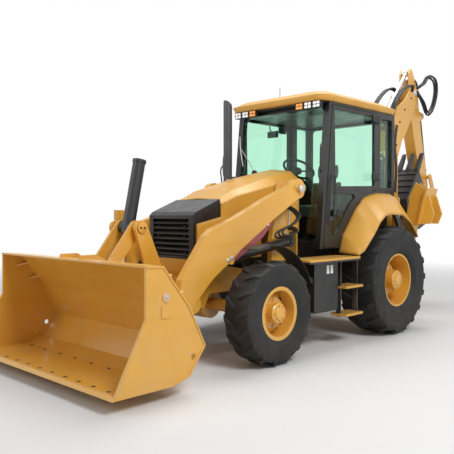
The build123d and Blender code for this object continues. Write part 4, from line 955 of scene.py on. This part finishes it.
def dress_door(name, side):
    """Handle, latch and hinge covers on one door's outside."""
    low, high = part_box("door_" + name)
    outer = high.y if side > 0 else low.y
    sunk = outer - side * 0.004

    @detail("door_handle_" + name, "black_plastic", "door_" + name)
    def handle(form):
        foot, grip = outer - side * 0.006, outer + side * 0.012
        tube(form, [at(0.86, foot, 1.30), at(0.87, grip, 1.36), at(0.84, grip, 1.80), at(0.81, foot, 1.86)],
             0.010, 8)

    @detail("door_latch_" + name, "black_plastic", "door_" + name, bevel=0.006)
    def latch(form):
        block(form, at(0.70, sunk, 1.40), at(0.80, outer + side * 0.014, 1.48))

    @detail("hinge_covers_" + name, "black_plastic", "door_" + name, bevel=0.012)
    def hinge_covers(form):
        for up in (1.885, 2.590):
            block(form, at(-0.085, sunk, up - 0.050), at(0.060, outer + side * 0.030, up + 0.050))


def blank_labels(name, side):
    """Two blank plates on a side box."""
    low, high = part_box("side_boxes")
    face = high.y if side > 0 else low.y

    @detail("side_labels_" + name, "lamp_lens", "chassis", bevel=0.0005, material=BLANK_PLATE)
    def labels(form):
        for ahead in (1.19, 1.26):
            block(form, at(ahead, face - side * 0.001, 0.80), at(ahead + 0.045, face + side * 0.0015, 0.89))


for name, side in SIDES:
    dress_door(name, side)
    blank_labels(name, side)


@detail("exhaust_clamp", "bare_steel", "chassis")
def exhaust_clamp(form):
    """The band round the stack's foot."""
    low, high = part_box("exhaust_stack")
    radius, outside = 0.056, 0.060
    band = ((radius, 0.0), (outside, 0.004), (outside, 0.020), (radius, 0.024))
    turned(form, Vector((low.x + radius, (low.y + high.y) / 2, low.z + 0.03)), Z, band, 28)


def studs(form, side, first, spacing, counts, top, radius):
    """Rows of raised rings on a step; places are (ahead, outwards)."""
    stud = ((radius, -0.001), (radius - 0.002, 0.003), (0.006, 0.0032), (0.005, 0.0005))
    for row in range(counts[1]):
        for column in range(counts[0]):
            middle = at(first[0] + spacing[0] * column, side * (first[1] + spacing[1] * row), top)
            turned(form, middle, Z, stud, 8)


@detail("step_treads", "cast_dark", "chassis")
def step_treads(form):
    for name, side in SIDES:
        for top in (0.6530, 0.3530):
            studs(form, side, (0.755, 0.865), (0.048, 0.045), (7, 4), top, 0.011)
        studs(form, side, (0.86, 0.76), (0.058, 0.075), (14, 4), 0.9650, 0.012)


@detail("dig_bucket_wear_bars", "cab_black", "backhoe_bucket", bevel=0.003)
def dig_bucket_wear_bars(form):
    """Bars across the dig bucket's flat back, at shares of the way down it."""
    top, bottom = at(-2.060, 0, 2.115), at(-1.710, 0, 1.650)
    along = (bottom - top).normalized()
    out = Vector((-along.z, 0, along.x))
    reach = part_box("backhoe_bucket")[1].y - 0.012
    half_width, sunk, proud = 0.022, -0.004, 0.014
    for share in (0.16, 0.36, 0.56, 0.76):
        middle = top + (bottom - top) * share
        skin(form, [[middle + Y * left + along * across * half_width + out * height for across, height in
                     ((-1, sunk), (1, sunk), (0.8, proud), (-0.8, proud))] for left in (-reach, reach)])


BOOM_HALF = 0.120                # half the boom's width


@detail("boom_bolts", "cast_dark", "boom")
def boom_bolts(form):
    for name, side in SIDES:
        for ahead, up in ((-1.56, 2.55), (-1.62, 2.45), (-1.86, 3.00), (-2.06, 3.20), (-1.72, 2.80)):
            bolt(form, at(ahead, side * BOOM_HALF, up), Y * side, 0.012)


@detail("boom_hose_bundle", "black_plastic", "boom")
def boom_hose_bundle(form):
    """On each side of the boom, loops past its top end and runs along its back."""
    loop = ((-2.215, 3.330), (-2.330, 3.150), (-2.450, 3.010), (-2.590, 3.010), (-2.730, 3.190),
            (-2.800, 3.400), (-2.770, 3.560), (-2.640, 3.620), (-2.460, 3.570), (-2.340, 3.460),
            (-2.215, 3.375))
    run = ((-1.380, 2.715), (-1.420, 2.905), (-1.500, 3.065), (-1.640, 3.205), (-1.820, 3.325),
           (-2.000, 3.375), (-2.110, 3.315))
    # route, its scale about its own middle, distance out from the boom's side
    hoses = ((loop, 1.00, 0.040), (loop, 0.93, 0.068), (loop, 0.86, 0.030),
             (run, 1.0, 0.018), (run, 0.94, 0.045), (run, 0.97, 0.070))
    for name, side in SIDES:
        for route, scale, out in hoses:
            x, z = [sum(values) / len(route) for values in zip(*route)]
            points = [at(x + (ahead - x) * scale, side * (BOOM_HALF + out), z + (up - z) * scale)
                      for ahead, up in route]
            points[0].y = points[-1].y = side * (BOOM_HALF + 0.004)
            tube(form, points, 0.015, 10, 5)


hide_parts("boom_hoses")


@detail("boom_pin_caps", "bare_steel", "boom")
def boom_pin_caps(form):
    """Caps on the pins at the boom's top, middle and foot."""
    for name, side in SIDES:
        for ahead, up, radius in ((-2.192, 3.298, 0.052), (-1.425, 2.760, 0.040), (-1.620, 1.020, 0.060)):
            cap = ((radius, 0.0), (radius, 0.006), (radius * 0.7, 0.008), (radius * 0.6, 0.014), (0.0, 0.015))
            turned(form, at(ahead, side * 0.119, up), Y * side, cap, 28)


@detail("boom_pipes", "cast_dark", "boom")
def boom_pipes(form):
    """Two pipes up each side of the boom, with the clips that hold them."""
    clip = ((0.034, 0.0), (0.034, 0.010), (0.030, 0.014), (0.0, 0.014))
    for name, side in SIDES:
        for index in range(2):
            shift = 0.030 * index
            tube(form, [at(ahead - shift, side * 0.131, up) for ahead, up in
                        ((-1.56, 1.75), (-1.585, 2.10), (-1.545, 2.45), (-1.60, 2.74))], 0.010, 8)
            for up in (1.90, 2.30, 2.60):
                turned(form, at(-1.575 - shift * 0.5, side * 0.119, up), Y * side, clip, 12)


@detail("stack_base_tube", "cab_black", "chassis")
def stack_base_tube(form):
    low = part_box("exhaust_stack")[0]
    route = ((0.12, 0.02, 0.02), (0.14, 0.02, 0.16), (0.11, 0.02, 0.22))
    tube(form, [low + Vector(shift) for shift in route], 0.008, 8)
